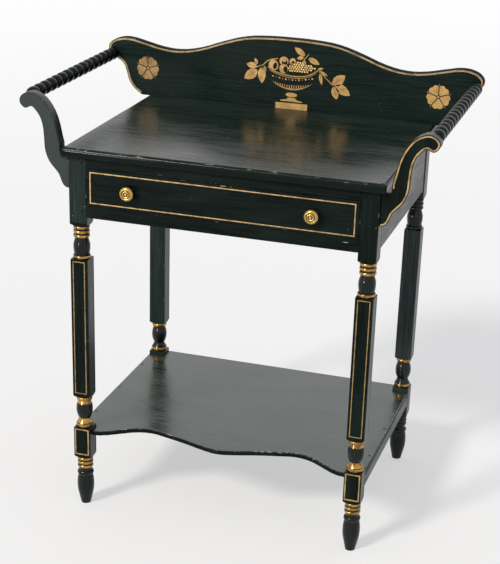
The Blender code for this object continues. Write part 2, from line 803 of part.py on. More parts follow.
def make_drawer():
    """The drawer's five boards, with the front last so that every cut is on it."""
    made = {}
    front_span = (front_y, drawer_front_back_y)
    front = block("drawer_front", (-drawer_half, drawer_half), front_span, (drawer_bottom, drawer_top))
    for side_name, side in (("left", -1), ("right", 1)):
        made["side_" + side_name] = make_drawer_side("drawer_side_" + side_name, side, front)
    inner = drawer_half - drawer_side_thickness
    rear = front_y + drawer_length
    floor = drawer_bottom + drawer_bottom_height
    high = drawer_top - drawer_side_below_front
    back_y_span = (rear - drawer_back_inset - drawer_back_thickness, rear - drawer_back_inset)
    back_half = inner + drawer_back_housing - fit_gap
    back_z = (floor + drawer_bottom_thickness + seat_gap, high)
    made["back"] = block("drawer_back", (-back_half, back_half), back_y_span, back_z)
    panel_half = inner + drawer_groove_depth - fit_gap
    panel_y = (drawer_front_back_y - drawer_groove_depth + fit_gap, rear - drawer_bottom_inset)
    panel_z = (floor, floor + drawer_bottom_thickness)
    made["bottom"] = block("drawer_bottom", (-panel_half, panel_half), panel_y, panel_z)
    groove_half = inner + drawer_groove_depth
    groove_y = (drawer_front_back_y - drawer_groove_depth, drawer_front_back_y + cut_overrun)
    groove_z = (panel_z[0] - fit_gap, panel_z[1] + fit_gap)
    groove = block("drawer_front_groove", (-groove_half, groove_half), groove_y, groove_z, scene_cutters)
    combine(front, groove, "DIFFERENCE")
    made["front"] = front
    return made


def make_drawer_nails(bottom, back):
    nails = []
    y = front_y + drawer_length - drawer_back_inset - drawer_back_thickness / 2
    z = drawer_bottom + drawer_bottom_height
    for side_name, side in (("left", -1), ("right", 1)):
        name = "drawer_nail_" + side_name
        sizes = (nail_head_diameter, nail_head_height, nail_diameter, drawer_nail_length)
        place = (side * drawer_nail_spacing / 2, y, z)
        nails.append(headed_pin(name, sizes, (0, 0, -1), place))
        hole = headed_pin(name + "_hole", sizes, (0, 0, -1), place, scene_cutters, fit_gap)
        combine(bottom, hole, "DIFFERENCE")
        combine(back, hole, "DIFFERENCE")
    return nails


def knob_profile():
    """Face rings, rim, neck, back plate and shank, from the front of the knob to the end of its shank."""
    shank = knob_shank_diameter / 2
    length = drawer_front_thickness + seat_gap + knob_nut_height
    out = [(knob_radius * wide, knob_projection * out_share) for wide, out_share in knob_face_shares]
    out += [(knob_neck_radius, knob_projection * out_share) for out_share in knob_neck_shares]
    out += [(knob_plate_radius, knob_plate_height), (knob_plate_radius, seat_gap)]
    return out + [(shank, seat_gap), (shank, -length)]


def make_knob(side_name, side, front):
    place = (side * knob_spacing / 2, front_y, knob_height)
    knob = point_along(turned("knob_" + side_name, knob_profile(), knob_steps), (0, -1, 0), place)
    hole_start = (place[0], front_y - cut_overrun, knob_height)
    hole_length = drawer_front_thickness + 2 * cut_overrun
    radius = knob_shank_diameter / 2 + fit_gap
    name = "knob_%s_hole" % side_name
    hole = pin(name, radius, hole_length, nail_steps, (0, -1, 0), hole_start, scene_cutters)
    combine(front, hole, "DIFFERENCE")
    half = knob_nut_width / 2
    nut_y = (drawer_front_back_y + seat_gap, drawer_front_back_y + seat_gap + knob_nut_height)
    nut_x = (place[0] - half, place[0] + half)
    nut_z = (knob_height - half, knob_height + half)
    nut = block("knob_nut_" + side_name, nut_x, nut_y, nut_z)
    start = (place[0], nut_y[0] - cut_overrun, knob_height)
    bore_length = knob_nut_height + 2 * cut_overrun
    name = "knob_nut_%s_bore" % side_name
    bore = pin(name, radius, bore_length, nail_steps, (0, -1, 0), start, scene_cutters)
    combine(nut, bore, "DIFFERENCE")
    return knob, nut


def make_runner_set(side_name, side):
    """What carries, guides and holds down one side of the drawer."""
    y = (post_back_y + seat_gap, back_post_front_y - seat_gap)
    outer = apron_inner - seat_gap
    top = drawer_bottom - seat_gap
    runner_z = (top - runner_height, top)
    runner = block("runner_" + side_name, across(side, outer - runner_width, outer), y, runner_z)
    guide_z = (top + seat_gap, top + seat_gap + guide_height)
    guide = block("guide_" + side_name, across(side, inner_half, outer), y, guide_z)
    kicker_z = (opening_top, case_top_height)
    kicker = block("kicker_" + side_name, across(side, outer - kicker_width, outer), y, kicker_z)
    return runner, guide, kicker


def make_stop(side_name, side):
    y = (drawer_front_back_y + seat_gap, drawer_front_back_y + seat_gap + stop_depth)
    middle = side * stop_spacing / 2
    x = (middle - stop_width / 2, middle + stop_width / 2)
    z = (opening_bottom + seat_gap, opening_bottom + seat_gap + stop_height)
    return block("drawer_stop_" + side_name, x, y, z)


def make_glue_block(name, side, end):
    middle = side * glue_block_spacing / 2
    x = (middle - glue_block_length / 2, middle + glue_block_length / 2)
    if end == "front":
        start = front_y + rail_depth + seat_gap
        y = (start, start + glue_block_size)
    else:
        start = back_apron_inner_y - seat_gap
        y = (start - glue_block_size, start)
    return block(name, x, y, (case_top_height - glue_block_size, case_top_height))


def build():
    global scene_parts, scene_cutters
    clear_scene()
    scene_parts = new_collection("washstand")
    scene_cutters = new_collection("cutters")
    paint = new_material("black_paint", (0.012, 0.018, 0.016), 0.35, 0)
    pine = new_material("bare_pine", (0.42, 0.28, 0.15), 0.75, 0)
    brass = new_material("brass", (0.72, 0.52, 0.20), 0.30, 1)
    iron = new_material("iron", (0.10, 0.09, 0.08), 0.55, 1)
    painted, bare, brassy, irons, moving = [], [], [], [], []

    (upper_rail, upper_mortise), (lower_rail, lower_mortise) = make_front_rails()
    back_apron, back_mortise = make_back_apron()
    pegs, peg_holes = make_pegs((upper_rail, lower_rail))
    top = make_top()
    backboard = make_backboard()
    shelf = make_shelf()
    painted += [upper_rail, lower_rail, back_apron, top, backboard, shelf] + pegs
    bare += make_dowels(top, backboard)

    drawer = make_drawer()
    painted.append(drawer["front"])
    bare += [drawer["side_left"], drawer["side_right"], drawer["back"], drawer["bottom"]]
    moving += list(drawer.values())
    nails = make_drawer_nails(drawer["bottom"], drawer["back"])
    irons += nails
    moving += nails

    for side_name, side in (("left", -1), ("right", 1)):
        apron, apron_mortise = make_side_apron("side_apron_" + side_name, side)
        shelf_rail, shelf_mortise = make_shelf_rail("shelf_rail_" + side_name, side)
        bracket = make_bracket("scroll_bracket_" + side_name, side)
        screws, screw_holes = make_bracket_screws("bracket_screw_" + side_name, side, bracket)
        bar = make_towel_bar("towel_bar_" + side_name, side, bracket, backboard)
        front_holes = [upper_mortise, lower_mortise, apron_mortise, shelf_mortise]
        front_holes += peg_holes[side_name] + screw_holes
        back_holes = [back_mortise, apron_mortise, shelf_mortise]
        front_leg = make_leg("leg_front_" + side_name, side, "front", front_holes)
        back_leg = make_leg("leg_back_" + side_name, side, "back", back_holes)
        painted += [apron, shelf_rail, bracket, bar, front_leg, back_leg]
        irons += screws + make_shelf_nails(side_name, side, shelf, shelf_rail)
        bare += make_runner_set(side_name, side)
        bare.append(make_stop(side_name, side))
        for end in ("front", "back"):
            bare.append(make_glue_block("glue_block_%s_%s" % (end, side_name), side, end))
        knob, nut = make_knob(side_name, side, drawer["front"])
        brassy.append(knob)
        irons.append(nut)
        moving += [knob, nut]

    for things, surface in ((painted, paint), (bare, pine), (brassy, brass), (irons, iron)):
        for thing in things:
            finish(thing, surface)

    slide = bpy.data.objects.new("drawer_slide", None)
    scene_parts.objects.link(slide)
    slide.location = (0, front_y, drawer_bottom)
    bpy.context.view_layer.update()
    for thing in moving:
        place = thing.matrix_world.copy()
        thing.parent = slide
        thing.matrix_world = place


build()
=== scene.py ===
# %% [markdown]
# # A painted washstand
#
# A washstand is a small table that held a basin and a jug. This one is pine, turned and sawn by hand,
# painted black-green, and finished with gold bands, lines and a stencilled bowl of fruit. The packed
# model gives every piece its place. This script gives each one its finer shape and its finish.

import json
import math

import bmesh
import bpy
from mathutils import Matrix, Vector, noise


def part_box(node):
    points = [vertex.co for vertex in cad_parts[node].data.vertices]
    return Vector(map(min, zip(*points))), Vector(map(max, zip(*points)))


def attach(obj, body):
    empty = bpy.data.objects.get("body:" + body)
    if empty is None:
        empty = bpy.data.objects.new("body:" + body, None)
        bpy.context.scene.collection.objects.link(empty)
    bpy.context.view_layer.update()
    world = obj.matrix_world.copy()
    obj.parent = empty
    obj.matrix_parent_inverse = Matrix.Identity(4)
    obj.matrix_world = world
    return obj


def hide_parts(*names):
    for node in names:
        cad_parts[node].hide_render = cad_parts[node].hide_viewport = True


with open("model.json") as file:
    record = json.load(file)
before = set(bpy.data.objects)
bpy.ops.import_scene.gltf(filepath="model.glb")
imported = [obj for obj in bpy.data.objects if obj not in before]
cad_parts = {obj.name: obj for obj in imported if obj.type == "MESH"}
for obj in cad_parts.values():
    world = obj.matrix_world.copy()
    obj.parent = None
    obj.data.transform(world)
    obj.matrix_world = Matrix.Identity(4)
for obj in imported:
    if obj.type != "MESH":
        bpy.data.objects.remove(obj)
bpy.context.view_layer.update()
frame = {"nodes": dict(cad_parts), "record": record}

# %% [markdown]
# ## The camera
#
# The photograph looks down on the washstand from its right front. The place, the turn and the focal
# length were worked out from the corners of the top, the backboard, the shelf and the feet. The picture
# is cropped, so its optical centre isn't in its middle, and the camera's shift takes that up.

# %% The camera
picture_width, picture_height = 500, 564
focal_pixels = 1516.362
centre_across, centre_down = 260.352, 395.736
turn_left, tilt_down, roll = 0.28258, 0.42623, 0.03541
camera_place = (0.84081, -2.80290, 1.53104)
sensor_mm = 36


def make_camera():
    level = Vector((math.cos(turn_left), math.sin(turn_left), 0))
    ahead = Vector((-math.sin(turn_left) * math.cos(tilt_down),
                    math.cos(turn_left) * math.cos(tilt_down), -math.sin(tilt_down)))
    above = level.cross(ahead)
    right = level * math.cos(roll) + above * math.sin(roll)
    up = above * math.cos(roll) - level * math.sin(roll)
    lens = bpy.data.cameras.new("camera")
    lens.sensor_fit = "HORIZONTAL"
    lens.sensor_width = sensor_mm
    lens.lens = focal_pixels / picture_width * sensor_mm
    lens.shift_x = (picture_width / 2 - centre_across) / picture_width
    lens.shift_y = (centre_down - picture_height / 2) / picture_width
    lens.clip_end = 100
    camera = bpy.data.objects.new("camera", lens)
    bpy.context.scene.collection.objects.link(camera)
    for column, axis in enumerate((right, up, -ahead, Vector(camera_place))):
        for row in range(3):
            camera.matrix_world[row][column] = axis[row]
    bpy.context.scene.camera = camera
    return camera


camera = make_camera()
print("lens: %.1f mm, shift: %.3f, %.3f" % (camera.data.lens, camera.data.shift_x, camera.data.shift_y))

# %% [markdown]
# ## Colours and nodes
#
# Colours are read off as sRGB hex codes, the way a paint chart gives them. A shader wants linear light,
# so one function converts them all. Every material below is a small tree of nodes, and one function adds
# a node with its settings, its values and its links, so that a tree reads from top to bottom.

# %% Colours and nodes
def linear(code):
    """An sRGB hex code as a linear colour."""
    parts = [int(code[i:i + 2], 16) / 255 for i in (1, 3, 5)]
    return tuple(c / 12.92 if c <= 0.04045 else ((c + 0.055) / 1.055) ** 2.4 for c in parts) + (1,)


def add(tree, kind, sockets=None, **settings):
    """Adds a node. A socket, by name or number, gets a value, a hex code, or a socket or node to link."""
    made = tree.nodes.new("ShaderNode" + kind)
    for name, value in settings.items():
        setattr(made, name, value)
    for key, value in (sockets or {}).items():
        if isinstance(value, bpy.types.Node):
            value = next(output for output in value.outputs if output.enabled)
        if isinstance(value, bpy.types.NodeSocket):
            tree.links.new(value, made.inputs[key])
        else:
            made.inputs[key].default_value = linear(value) if isinstance(value, str) else value
    return made


def blank_material(name):
    """A new material, and its tree with nothing in it."""
    material = bpy.data.materials.new(name)
    material.use_nodes = True
    material.node_tree.nodes.clear()
    return material, material.node_tree


print("black-green paint as linear light:", [round(c, 4) for c in linear("#141c1a")])

# %% [markdown]
# ## Patterns in real sizes
#
# Brush marks, wood grain and wear all run on a scale that can be measured in millimetres. The object
# coordinates of every piece are metres, so a texture scale of 1000 divided by a size in millimetres
# gives marks of that size. Along the grain they are stretched to many times their width.
#
# Two nodes turn a pattern into a layer of colour. Map Range takes the pattern (socket 0) between two
# values (1 and 2) and gives an amount between two others (3 and 4, which are 0 and 1 unless they are
# set). Mix lays the second colour (7) over the first (6) by that amount (0).

# %% Patterns in real sizes
smoothly = {"interpolation_type": "SMOOTHSTEP"}


def grain(tree, axis, along_mm, across_mm):
    """Object coordinates in which a mark is along_mm long on the grain's axis and across_mm wide."""
    scale = [1000 / across_mm] * 3
    scale["XYZ".index(axis)] = 1000 / along_mm
    place = add(tree, "TexCoord").outputs["Object"]
    return add(tree, "Mapping", {"Vector": place, "Scale": scale})


def marks(tree, axis, along_mm, across_mm, detail=3.0, roughness=0.55):
    """Soft random marks of a real size, from 0 to 1."""
    return add(tree, "TexNoise", {"Vector": grain(tree, axis, along_mm, across_mm), "Scale": 1.0,
                                  "Detail": detail, "Roughness": roughness})


def layer(tree, under, over, pattern, low, high, most=1.0):
    """One colour laid over another: none of it where the pattern is low, and most where it is high."""
    amount = add(tree, "MapRange", {0: pattern, 1: low, 2: high, 4: most}, **smoothly)
    return add(tree, "Mix", {0: amount, 6: under, 7: over}, data_type="RGBA")


print("a 4 mm brush mark has a texture scale of", 1000 / 4)

# %% [markdown]
# ## The paint
#
# The case is coated in an oil paint made from lamp black and a little green, brushed on along each
# board, with varnish over it. The eye gets a near black with a soft shine, faint brush lines in the
# shine, a greenish cloud here and there, and pale chips where an edge has been knocked. The edges are
# told apart by an attribute that each piece writes on its rounded edges, so that chips stay on them. A
# tuft of bristles leaves a mark about two millimetres wide.

# %% The paint
chip_mm = 7.0
brush_mm = 2.2
speck_mm = 1.8
cloud_mm = 60
rubbed_mm = 25


def black_paint(name, axis, dark="#08100d", light="#121c18", rough=(0.28, 0.44), shine=0.05,
                chips=0.64, chip="#8f9186", bump_mm=0.05, stroke_mm=70):
    """Brushed paint with the brush marks along one axis. A higher chips value leaves fewer chips."""
    material, tree = blank_material(name)
    strokes = marks(tree, axis, stroke_mm, brush_mm)
    cloud = marks(tree, axis, 160, cloud_mm, detail=2.0)
    colour = layer(tree, dark, light, strokes, 0.35, 0.70)
    colour = layer(tree, colour, "#1c2b25", cloud, 0.45, 0.75, 0.45)
    specks = marks(tree, axis, speck_mm * 2, speck_mm, detail=0.0)
    colour = layer(tree, colour, "#5c645d", specks, 0.80, 0.86, 0.5)

    # Wear and chips are held to the edges
    edge = add(tree, "Attribute", attribute_name="edge").outputs["Fac"]
    wear = marks(tree, axis, 60, rubbed_mm, detail=2.0)
    wear = add(tree, "MapRange", {0: wear, 1: 0.35, 2: 0.75, 4: 0.30}, **smoothly)
    rubbed = add(tree, "Math", {0: edge, 1: wear}, operation="MULTIPLY")
    # The rubbed grey is wear; on the top's nosing and the bars' bead crests it is also a painted
    # highlight
    colour = add(tree, "Mix", {0: rubbed, 6: colour, 7: "#3f4743"}, data_type="RGBA")
    flakes = marks(tree, axis, chip_mm * 3, chip_mm / 2, detail=5.0)
    flakes = add(tree, "MapRange", {0: flakes, 1: chips, 2: chips + 0.03}, **smoothly)
    chipped = add(tree, "Math", {0: edge, 1: flakes}, operation="MULTIPLY")
    colour = add(tree, "Mix", {0: chipped, 6: colour, 7: chip}, data_type="RGBA")

    # The shine runs in streaks along the brush marks, and a cloud or a chip dulls it
    gloss = add(tree, "MapRange", {0: strokes, 1: 0.30, 2: 0.75, 3: rough[0], 4: rough[1]}, **smoothly)
    dulled = add(tree, "MapRange", {0: cloud, 1: 0.35, 2: 0.70, 4: 0.07}, **smoothly)
    gloss = add(tree, "Math", {0: gloss, 1: dulled}, operation="ADD")
    dulled = add(tree, "Math", {0: chipped, 1: 0.3}, operation="MULTIPLY")
    gloss = add(tree, "Math", {0: gloss, 1: dulled}, operation="ADD")
    relief = add(tree, "Bump", {"Height": strokes, "Strength": 0.35, "Distance": bump_mm / 1000})
    shader = add(tree, "BsdfPrincipled", {"Base Color": colour, "Roughness": gloss, "Normal": relief,
                                          "IOR": 1.5, "Specular IOR Level": shine})
    add(tree, "OutputMaterial", {"Surface": shader})
    return material


paint_along = {axis: black_paint("black_paint_along_" + axis.lower(), axis) for axis in "XYZ"}
print("paints:", [paint.name for paint in paint_along.values()])

# %% [markdown]
# The varnish lies thicker on the sides and on turned wood than on the fronts, which hands and cloths
# have rubbed. Sawn edges drank theirs and stayed dull. The back legs and the left front post get lighter
# paints: the back right leg's is painted light, for the light it catches, and the back left leg's and the
# post's is partly dust and partly painted reflected light. So there are a few paints of the same recipe.

# %% More paints of the same recipe
backboard_paint = black_paint("backboard_paint", "X", dark="#0f1a16", light="#1b2a25")
side_paint_along = {"Y": black_paint("black_side_paint_along_y", "Y", shine=0.34),
                    "Z": black_paint("black_side_paint_along_z", "Z", shine=0.62)}
# Lighter copies of the paint: the first is partly dust and partly painted reflected light, the second is
# painted light
dusty_and_lit_paint = black_paint("dusty_and_lit_leg_paint", "Z", dark="#1c2623", light="#2d3935", rough=(0.34, 0.50))
painted_lit_paint = black_paint("painted_lit_leg_paint", "Z", dark="#2b3433", light="#404a49", rough=(0.38, 0.52))
turned_paint = black_paint("turned_black_paint", "Z", rough=(0.07, 0.15), shine=0.24, chips=0.70)
sawn_paint = black_paint("paint_on_sawn_edges", "X", rough=(0.55, 0.70), chips=0.66)
print("more paints:", [paint.name for paint in (backboard_paint, dusty_and_lit_paint, turned_paint, sawn_paint)])

# %% [markdown]
# The top was rubbed down and varnished more than the rest, since it had to stand water. It mirrors the
# backboard and the sky in long streaks, where the varnish lies thick and thin along the brush marks.

# %% The varnished top and the shelf
top_paint = black_paint("varnished_top_paint", "X", dark="#101a16", light="#1b2924", rough=(0.12, 0.32),
                        shine=0.50, bump_mm=0.12)
nosing_paint = black_paint("nosing_paint", "X", rough=(0.10, 0.15), shine=0.09, chips=0.63,
                           chip="#a9a99e", bump_mm=0.01, stroke_mm=600)
worn_edge_paint = black_paint("worn_shelf_edge_paint", "X", chip="#a9a598")
shelf_paint = black_paint("shelf_paint", "X", dark="#16211d", light="#33433d", rough=(0.14, 0.34),
                          shine=1.0, chips=0.58, chip="#a9a99e", bump_mm=0.10)


def dulled_towards_back(material, start, end, amount):
    """Dust and old wax lie where no cloth reaches, in front of the backboard: the gloss fades there."""
    tree = material.node_tree
    rough = next(node for node in tree.nodes if node.type == "BSDF_PRINCIPLED").inputs["Roughness"]
    place = add(tree, "TexCoord").outputs["Object"]
    depth = add(tree, "SeparateXYZ", {"Vector": place}).outputs["Y"]
    dust = add(tree, "MapRange", {0: depth, 1: start, 2: end, 4: amount}, **smoothly)
    more = add(tree, "Math", {0: rough.links[0].from_socket, 1: dust}, operation="ADD")
    tree.links.new(more.outputs[0], rough)


dulled_towards_back(top_paint, start=0.13, end=0.21, amount=0.24)
print("shiny paints:", [paint.name for paint in (top_paint, nosing_paint, worn_edge_paint, shelf_paint)])

# %% [markdown]
# ## Gold
#
# The gold isn't leaf but bronze powder, dusted on tacky varnish or stirred into it. It glitters less
# than metal: a soft warm ochre with a grainy shimmer, darker in the grooves and rubbed through to the
# black in places. Half-metallic and fairly rough gives that, and the rubbed places take the paint's
# colour. On turned rings an attribute says how far a point stands out, so that grooves stay dark. Real
# powder is far finer than a millimetre, so its grains are drawn coarser here, or they wouldn't show.

# %% Gold
powder_mm = 1.2
patch_mm = 14
bare_spot_mm = 5


def bronze_gold(name, bright, deep, worn=0.65, grooved=False, metallic=0.55, rough=0.42):
    """Bronze powder in varnish. A higher worn value leaves fewer bare spots."""
    material, tree = blank_material(name)
    powder = marks(tree, "X", powder_mm, powder_mm, detail=2.0)
    patches = marks(tree, "X", patch_mm, patch_mm)
    colour = layer(tree, deep, bright, patches, 0.30, 0.62)
    colour = layer(tree, colour, "#e8c88a", powder, 0.45, 0.75, 0.35)
    bare = marks(tree, "X", bare_spot_mm, bare_spot_mm, detail=5.0, roughness=0.7)
    bare = add(tree, "MapRange", {0: bare, 1: worn, 2: worn + 0.05}, **smoothly)
    if grooved:
        crest = add(tree, "Attribute", attribute_name="crest").outputs["Fac"]
        hollow = add(tree, "MapRange", {0: crest, 1: 0.30, 2: 0.62, 3: 1.0, 4: 0.0}, **smoothly)
        bare = add(tree, "Math", {0: bare, 1: hollow}, operation="MAXIMUM")
    colour = add(tree, "Mix", {0: bare, 6: colour, 7: "#191c17"}, data_type="RGBA")
    metal = add(tree, "MapRange", {0: bare, 3: metallic, 4: 0.0}, **smoothly)
    relief = add(tree, "Bump", {"Height": powder, "Strength": 0.25, "Distance": 0.0001})
    shader = add(tree, "BsdfPrincipled", {"Base Color": colour, "Metallic": metal, "Roughness": rough,
                                          "Normal": relief, "Specular IOR Level": 0.4})
    add(tree, "OutputMaterial", {"Surface": shader})
    return material


line_gold = bronze_gold("painted_gold_line", "#bd9c69", "#85673a")
leg_line_gold = bronze_gold("rubbed_gold_line", "#9c8052", "#6d532c", worn=0.63, metallic=0.30,
                            rough=0.50)
faded_line = bronze_gold("faded_gold_line", "#b1966b", "#78603b", metallic=0.30, rough=0.50)
ring_gold = bronze_gold("gold_on_turned_rings", "#b2873f", "#664820", worn=0.63, grooved=True,
                        metallic=0.85, rough=0.22)
stencil_gold = bronze_gold("stencilled_bronze_powder", "#c49b5b", "#9f7a41", worn=0.67,
                           metallic=0.35, rough=0.50)
fresh_gold = bronze_gold("fresh_bronze_powder", "#edc177", "#caa05c", worn=0.70,
                         metallic=0.35, rough=0.50)
# A darker gold for the left flower: painted shade, as if a shadow lay across it
painted_shade_gold = bronze_gold("painted_shade_bronze_powder", "#8c6b39", "#684e27", metallic=0.30)
print("golds:", line_gold.name, ring_gold.name, stencil_gold.name)

# %% [markdown]
# ## Bare pine
#
# The drawer's inside and the case's inner faces were left as bare pine. Old bare pine goes from cream to
# a warm brown. Its rings show as bands of hard dark latewood between wide soft earlywood, a few
# millimetres apart and drawn out for decimetres along the board. A wave pattern bent by slow noise
# draws them.

# %% Bare pine
ring_gap_mm = 6.0
ring_length_mm = 420
pore_mm = 0.6


def bare_pine(axis):
    """Old bare pine with its grain along one axis."""
    material, tree = blank_material("bare_pine_along_" + axis.lower())
    fibres = grain(tree, axis, ring_length_mm, ring_gap_mm)
    rings = add(tree, "TexWave", {"Vector": fibres, "Scale": 0.16, "Distortion": 3.5, "Detail": 2.0,
                                  "Detail Scale": 0.8}, wave_type="RINGS",
                rings_direction=axis).outputs["Fac"]
    pores = marks(tree, axis, 24, pore_mm)
    stain = marks(tree, axis, 200, 60, detail=2.0)
    colour = layer(tree, "#b9905c", "#8a6034", rings, 0.45, 0.95)
    colour = layer(tree, colour, "#6e4b28", pores, 0.45, 0.75, 0.4)
    colour = layer(tree, colour, "#7a5933", stain, 0.50, 0.80, 0.5)
    gloss = add(tree, "MapRange", {0: rings, 3: 0.78, 4: 0.62}, **smoothly)
    relief = add(tree, "Bump", {"Height": pores, "Strength": 0.3, "Distance": 0.0002})
    shader = add(tree, "BsdfPrincipled", {"Base Color": colour, "Normal": relief, "IOR": 1.45,
                                          "Roughness": gloss, "Specular IOR Level": 0.3})
    add(tree, "OutputMaterial", {"Surface": shader})
    return material


pine_along = {axis: bare_pine(axis) for axis in "XYZ"}
print("pines:", [pine.name for pine in pine_along.values()])

# %% [markdown]
# ## Brass and iron
#
# The knobs are turned brass, polished by hands on their ridges and brown in their grooves. The screws,
# nuts and nails are forged iron, dark with a thin skin of rust.

# %% Brass and iron
tarnish_mm = 3
rust_mm = 1.5


def turned_brass():
    material, tree = blank_material("turned_brass")
    crest = add(tree, "Attribute", attribute_name="crest").outputs["Fac"]
    tarnish = marks(tree, "X", tarnish_mm, tarnish_mm, detail=4.0)
    colour = layer(tree, "#5c4218", "#b29455", crest, 0.10, 0.60)
    colour = layer(tree, colour, "#a9813a", tarnish, 0.55, 0.75, 0.4)
    gloss = add(tree, "MapRange", {0: tarnish, 1: 0.3, 2: 0.8, 3: 0.18, 4: 0.36}, **smoothly)
    shader = add(tree, "BsdfPrincipled", {"Base Color": colour, "Metallic": 1.0, "Roughness": gloss})
    add(tree, "OutputMaterial", {"Surface": shader})
    return material


def forged_iron():
    material, tree = blank_material("forged_iron")
    rust = marks(tree, "X", rust_mm, rust_mm, detail=4.0)
    colour = layer(tree, "#3a3734", "#5e4231", rust, 0.50, 0.72)
    gloss = add(tree, "MapRange", {0: rust, 1: 0.3, 2: 0.7, 3: 0.45, 4: 0.75}, **smoothly)
    relief = add(tree, "Bump", {"Height": rust, "Strength": 0.4, "Distance": 0.0002})
    shader = add(tree, "BsdfPrincipled", {"Base Color": colour, "Metallic": 0.8, "Normal": relief,
                                          "Roughness": gloss})
    add(tree, "OutputMaterial", {"Surface": shader})
    return material


brass = turned_brass()
iron = forged_iron()
print("metals:", brass.name, iron.name)

# %% [markdown]
# ## Making a piece
#
# Every new piece goes through one function, which turns points and faces into an object, lets it ride on
# its body, and hides the model's pieces it stands for. Numbers per corner or per point, such as where an
# edge is worn, are kept on the mesh as attributes for the shaders to read.

# %% Making a piece
def make_piece(name, mesh, materials, body, stands_for=()):
    """Puts a mesh in the scene as a piece that rides on a body."""
    mesh.name = name
    for material in materials:
        mesh.materials.append(material)
    piece = bpy.data.objects.new(name, mesh)
    bpy.context.scene.collection.objects.link(piece)
    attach(piece, body)
    if stands_for:
        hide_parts(*stands_for)
    return piece


def to_mesh(shape, smooth_degrees=35):
    """A finished mesh from a bmesh. Its smooth faces run on into each other but for sharp edges."""
    mesh = bpy.data.meshes.new("shape")
    smooth_faces = [face.smooth for face in shape.faces]
    shape.to_mesh(mesh)
    shape.free()
    stored_normals = mesh.attributes.get("custom_normal")
    if stored_normals:
        mesh.attributes.remove(stored_normals)
    mesh.set_sharp_from_angle(angle=math.radians(smooth_degrees))
    mesh.polygons.foreach_set("use_smooth", smooth_faces)
    return mesh


def all_smooth(shape):
    for face in shape.faces:
        face.smooth = True


# %% [markdown]
# ## Boards with eased edges
#
# A sawn and planed board never keeps a knife-sharp edge: the maker takes it off with a stroke of
# sandpaper, and two centuries do the rest. The flat boards copy the model's own shape, merge its
# triangles back into flat faces, and get a fine bevel on every sharp edge. The bevel catches the light,
# and its faces carry the edge attribute on which the paint chips.

# %% Boards with eased edges
def flat_faced(node):
    """The model's node as a bmesh whose flat areas are single faces."""
    shape = bmesh.new()
    shape.from_mesh(frame["nodes"][node].data)
    bmesh.ops.remove_doubles(shape, verts=shape.verts, dist=0.00002)
    bmesh.ops.dissolve_limit(shape, angle_limit=math.radians(0.5), verts=shape.verts, edges=shape.edges)
    return shape


def strip_width(face):
    """The width of a face that is much longer than it is wide."""
    return 2 * face.calc_area() / face.calc_perimeter()


sharp_degrees = 32
narrow_wall = 0.0017


def eased_board(node, width, segments=2, flat_axis="Y"):
    """The node with rounded edges, but for the edges of its small holes, which have narrow walls.

    Faces across the flat axis get the first material, the rest the second."""
    shape = flat_faced(node)
    sharp = [e for e in shape.edges
             if len(e.link_faces) == 2 and e.calc_face_angle(0) > math.radians(sharp_degrees)
             and min(strip_width(face) for face in e.link_faces) > narrow_wall]
    bmesh.ops.bevel(shape, geom=sharp, offset=width, segments=segments, profile=0.5, affect="EDGES",
                    clamp_overlap=True)
    edge = shape.loops.layers.float.new("edge")
    widest_strip = width * (1.5 if segments == 1 else 0.9)
    for face in shape.faces:
        rounded = strip_width(face) < widest_strip
        face.smooth = rounded or max(abs(part) for part in face.normal) < 0.9999
        face.material_index = 0 if abs(face.normal["XYZ".index(flat_axis)]) > 0.8 else 1
        for corner in face.loops:
            corner[edge] = 1.0 if rounded else 0.0
    return to_mesh(shape, 30)


def grain_axis(node):
    """The axis along the node's longest side, which is how a joiner lays the grain."""
    low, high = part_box(node)
    sizes = list(high - low)
    return "XYZ"[sizes.index(max(sizes))]


print("the shelf's grain runs along", grain_axis("shelf"))

# %% [markdown]
# ## The painted boards
#
# Each board has its own bevel, as worn as the real one's edge, and its own pair of paints: one for its
# faces and one for its sides. The case was painted after it had been glued up, so the brush never
# reached the faces inside it, nor the back of the drawer's front. They stay bare pine, and the table
# below says which way they look.

# %% The painted boards
plain = {axis: [paint, paint] for axis, paint in paint_along.items()}
shiny_sided = {axis: [paint_along[axis], side_paint_along[axis]] for axis in "YZ"}
painted_boards = {
    "backboard": (0.0012, [backboard_paint, sawn_paint]),
    "scroll_bracket_right": (0.0009, shiny_sided["Z"]),
    "shelf": (0.0021, [shelf_paint, worn_edge_paint]),
    "drawer_front": (0.0007, plain["X"]),
    "front_upper_rail": (0.0006, plain["X"]),
    "front_lower_rail": (0.0006, plain["X"]),
    "side_apron_left": (0.0006, shiny_sided["Y"]),
    "side_apron_right": (0.0006, shiny_sided["Y"]),
    "back_apron": (0.0006, plain["X"]),
    "shelf_rail_left": (0.0008, shiny_sided["Y"]),
    "shelf_rail_right": (0.0008, shiny_sided["Y"]),
}
inside_of_case = {
    "drawer_front": (0, 1, 0), "front_upper_rail": (0, 1, 0), "front_lower_rail": (0, 1, 0),
    "side_apron_left": (1, 0, 0), "side_apron_right": (-1, 0, 0), "back_apron": (0, -1, 0),
}
body_of_node = {member: body for body, members in frame["record"]["behaviour"]["bodies"].items()
                for member in members}
for node, (width, paints) in painted_boards.items():
    shape = eased_board(node, width, flat_axis="Z" if node == "shelf" else "Y")
    board = make_piece(node + "_painted", shape, paints + [pine_along[grain_axis(node)]],
                       body_of_node[node], [node])
    if node in inside_of_case:
        for face in board.data.polygons:
            if face.normal.dot(Vector(inside_of_case[node])) > 0.9:
                face.material_index = 2
print("painted boards:", len(painted_boards))
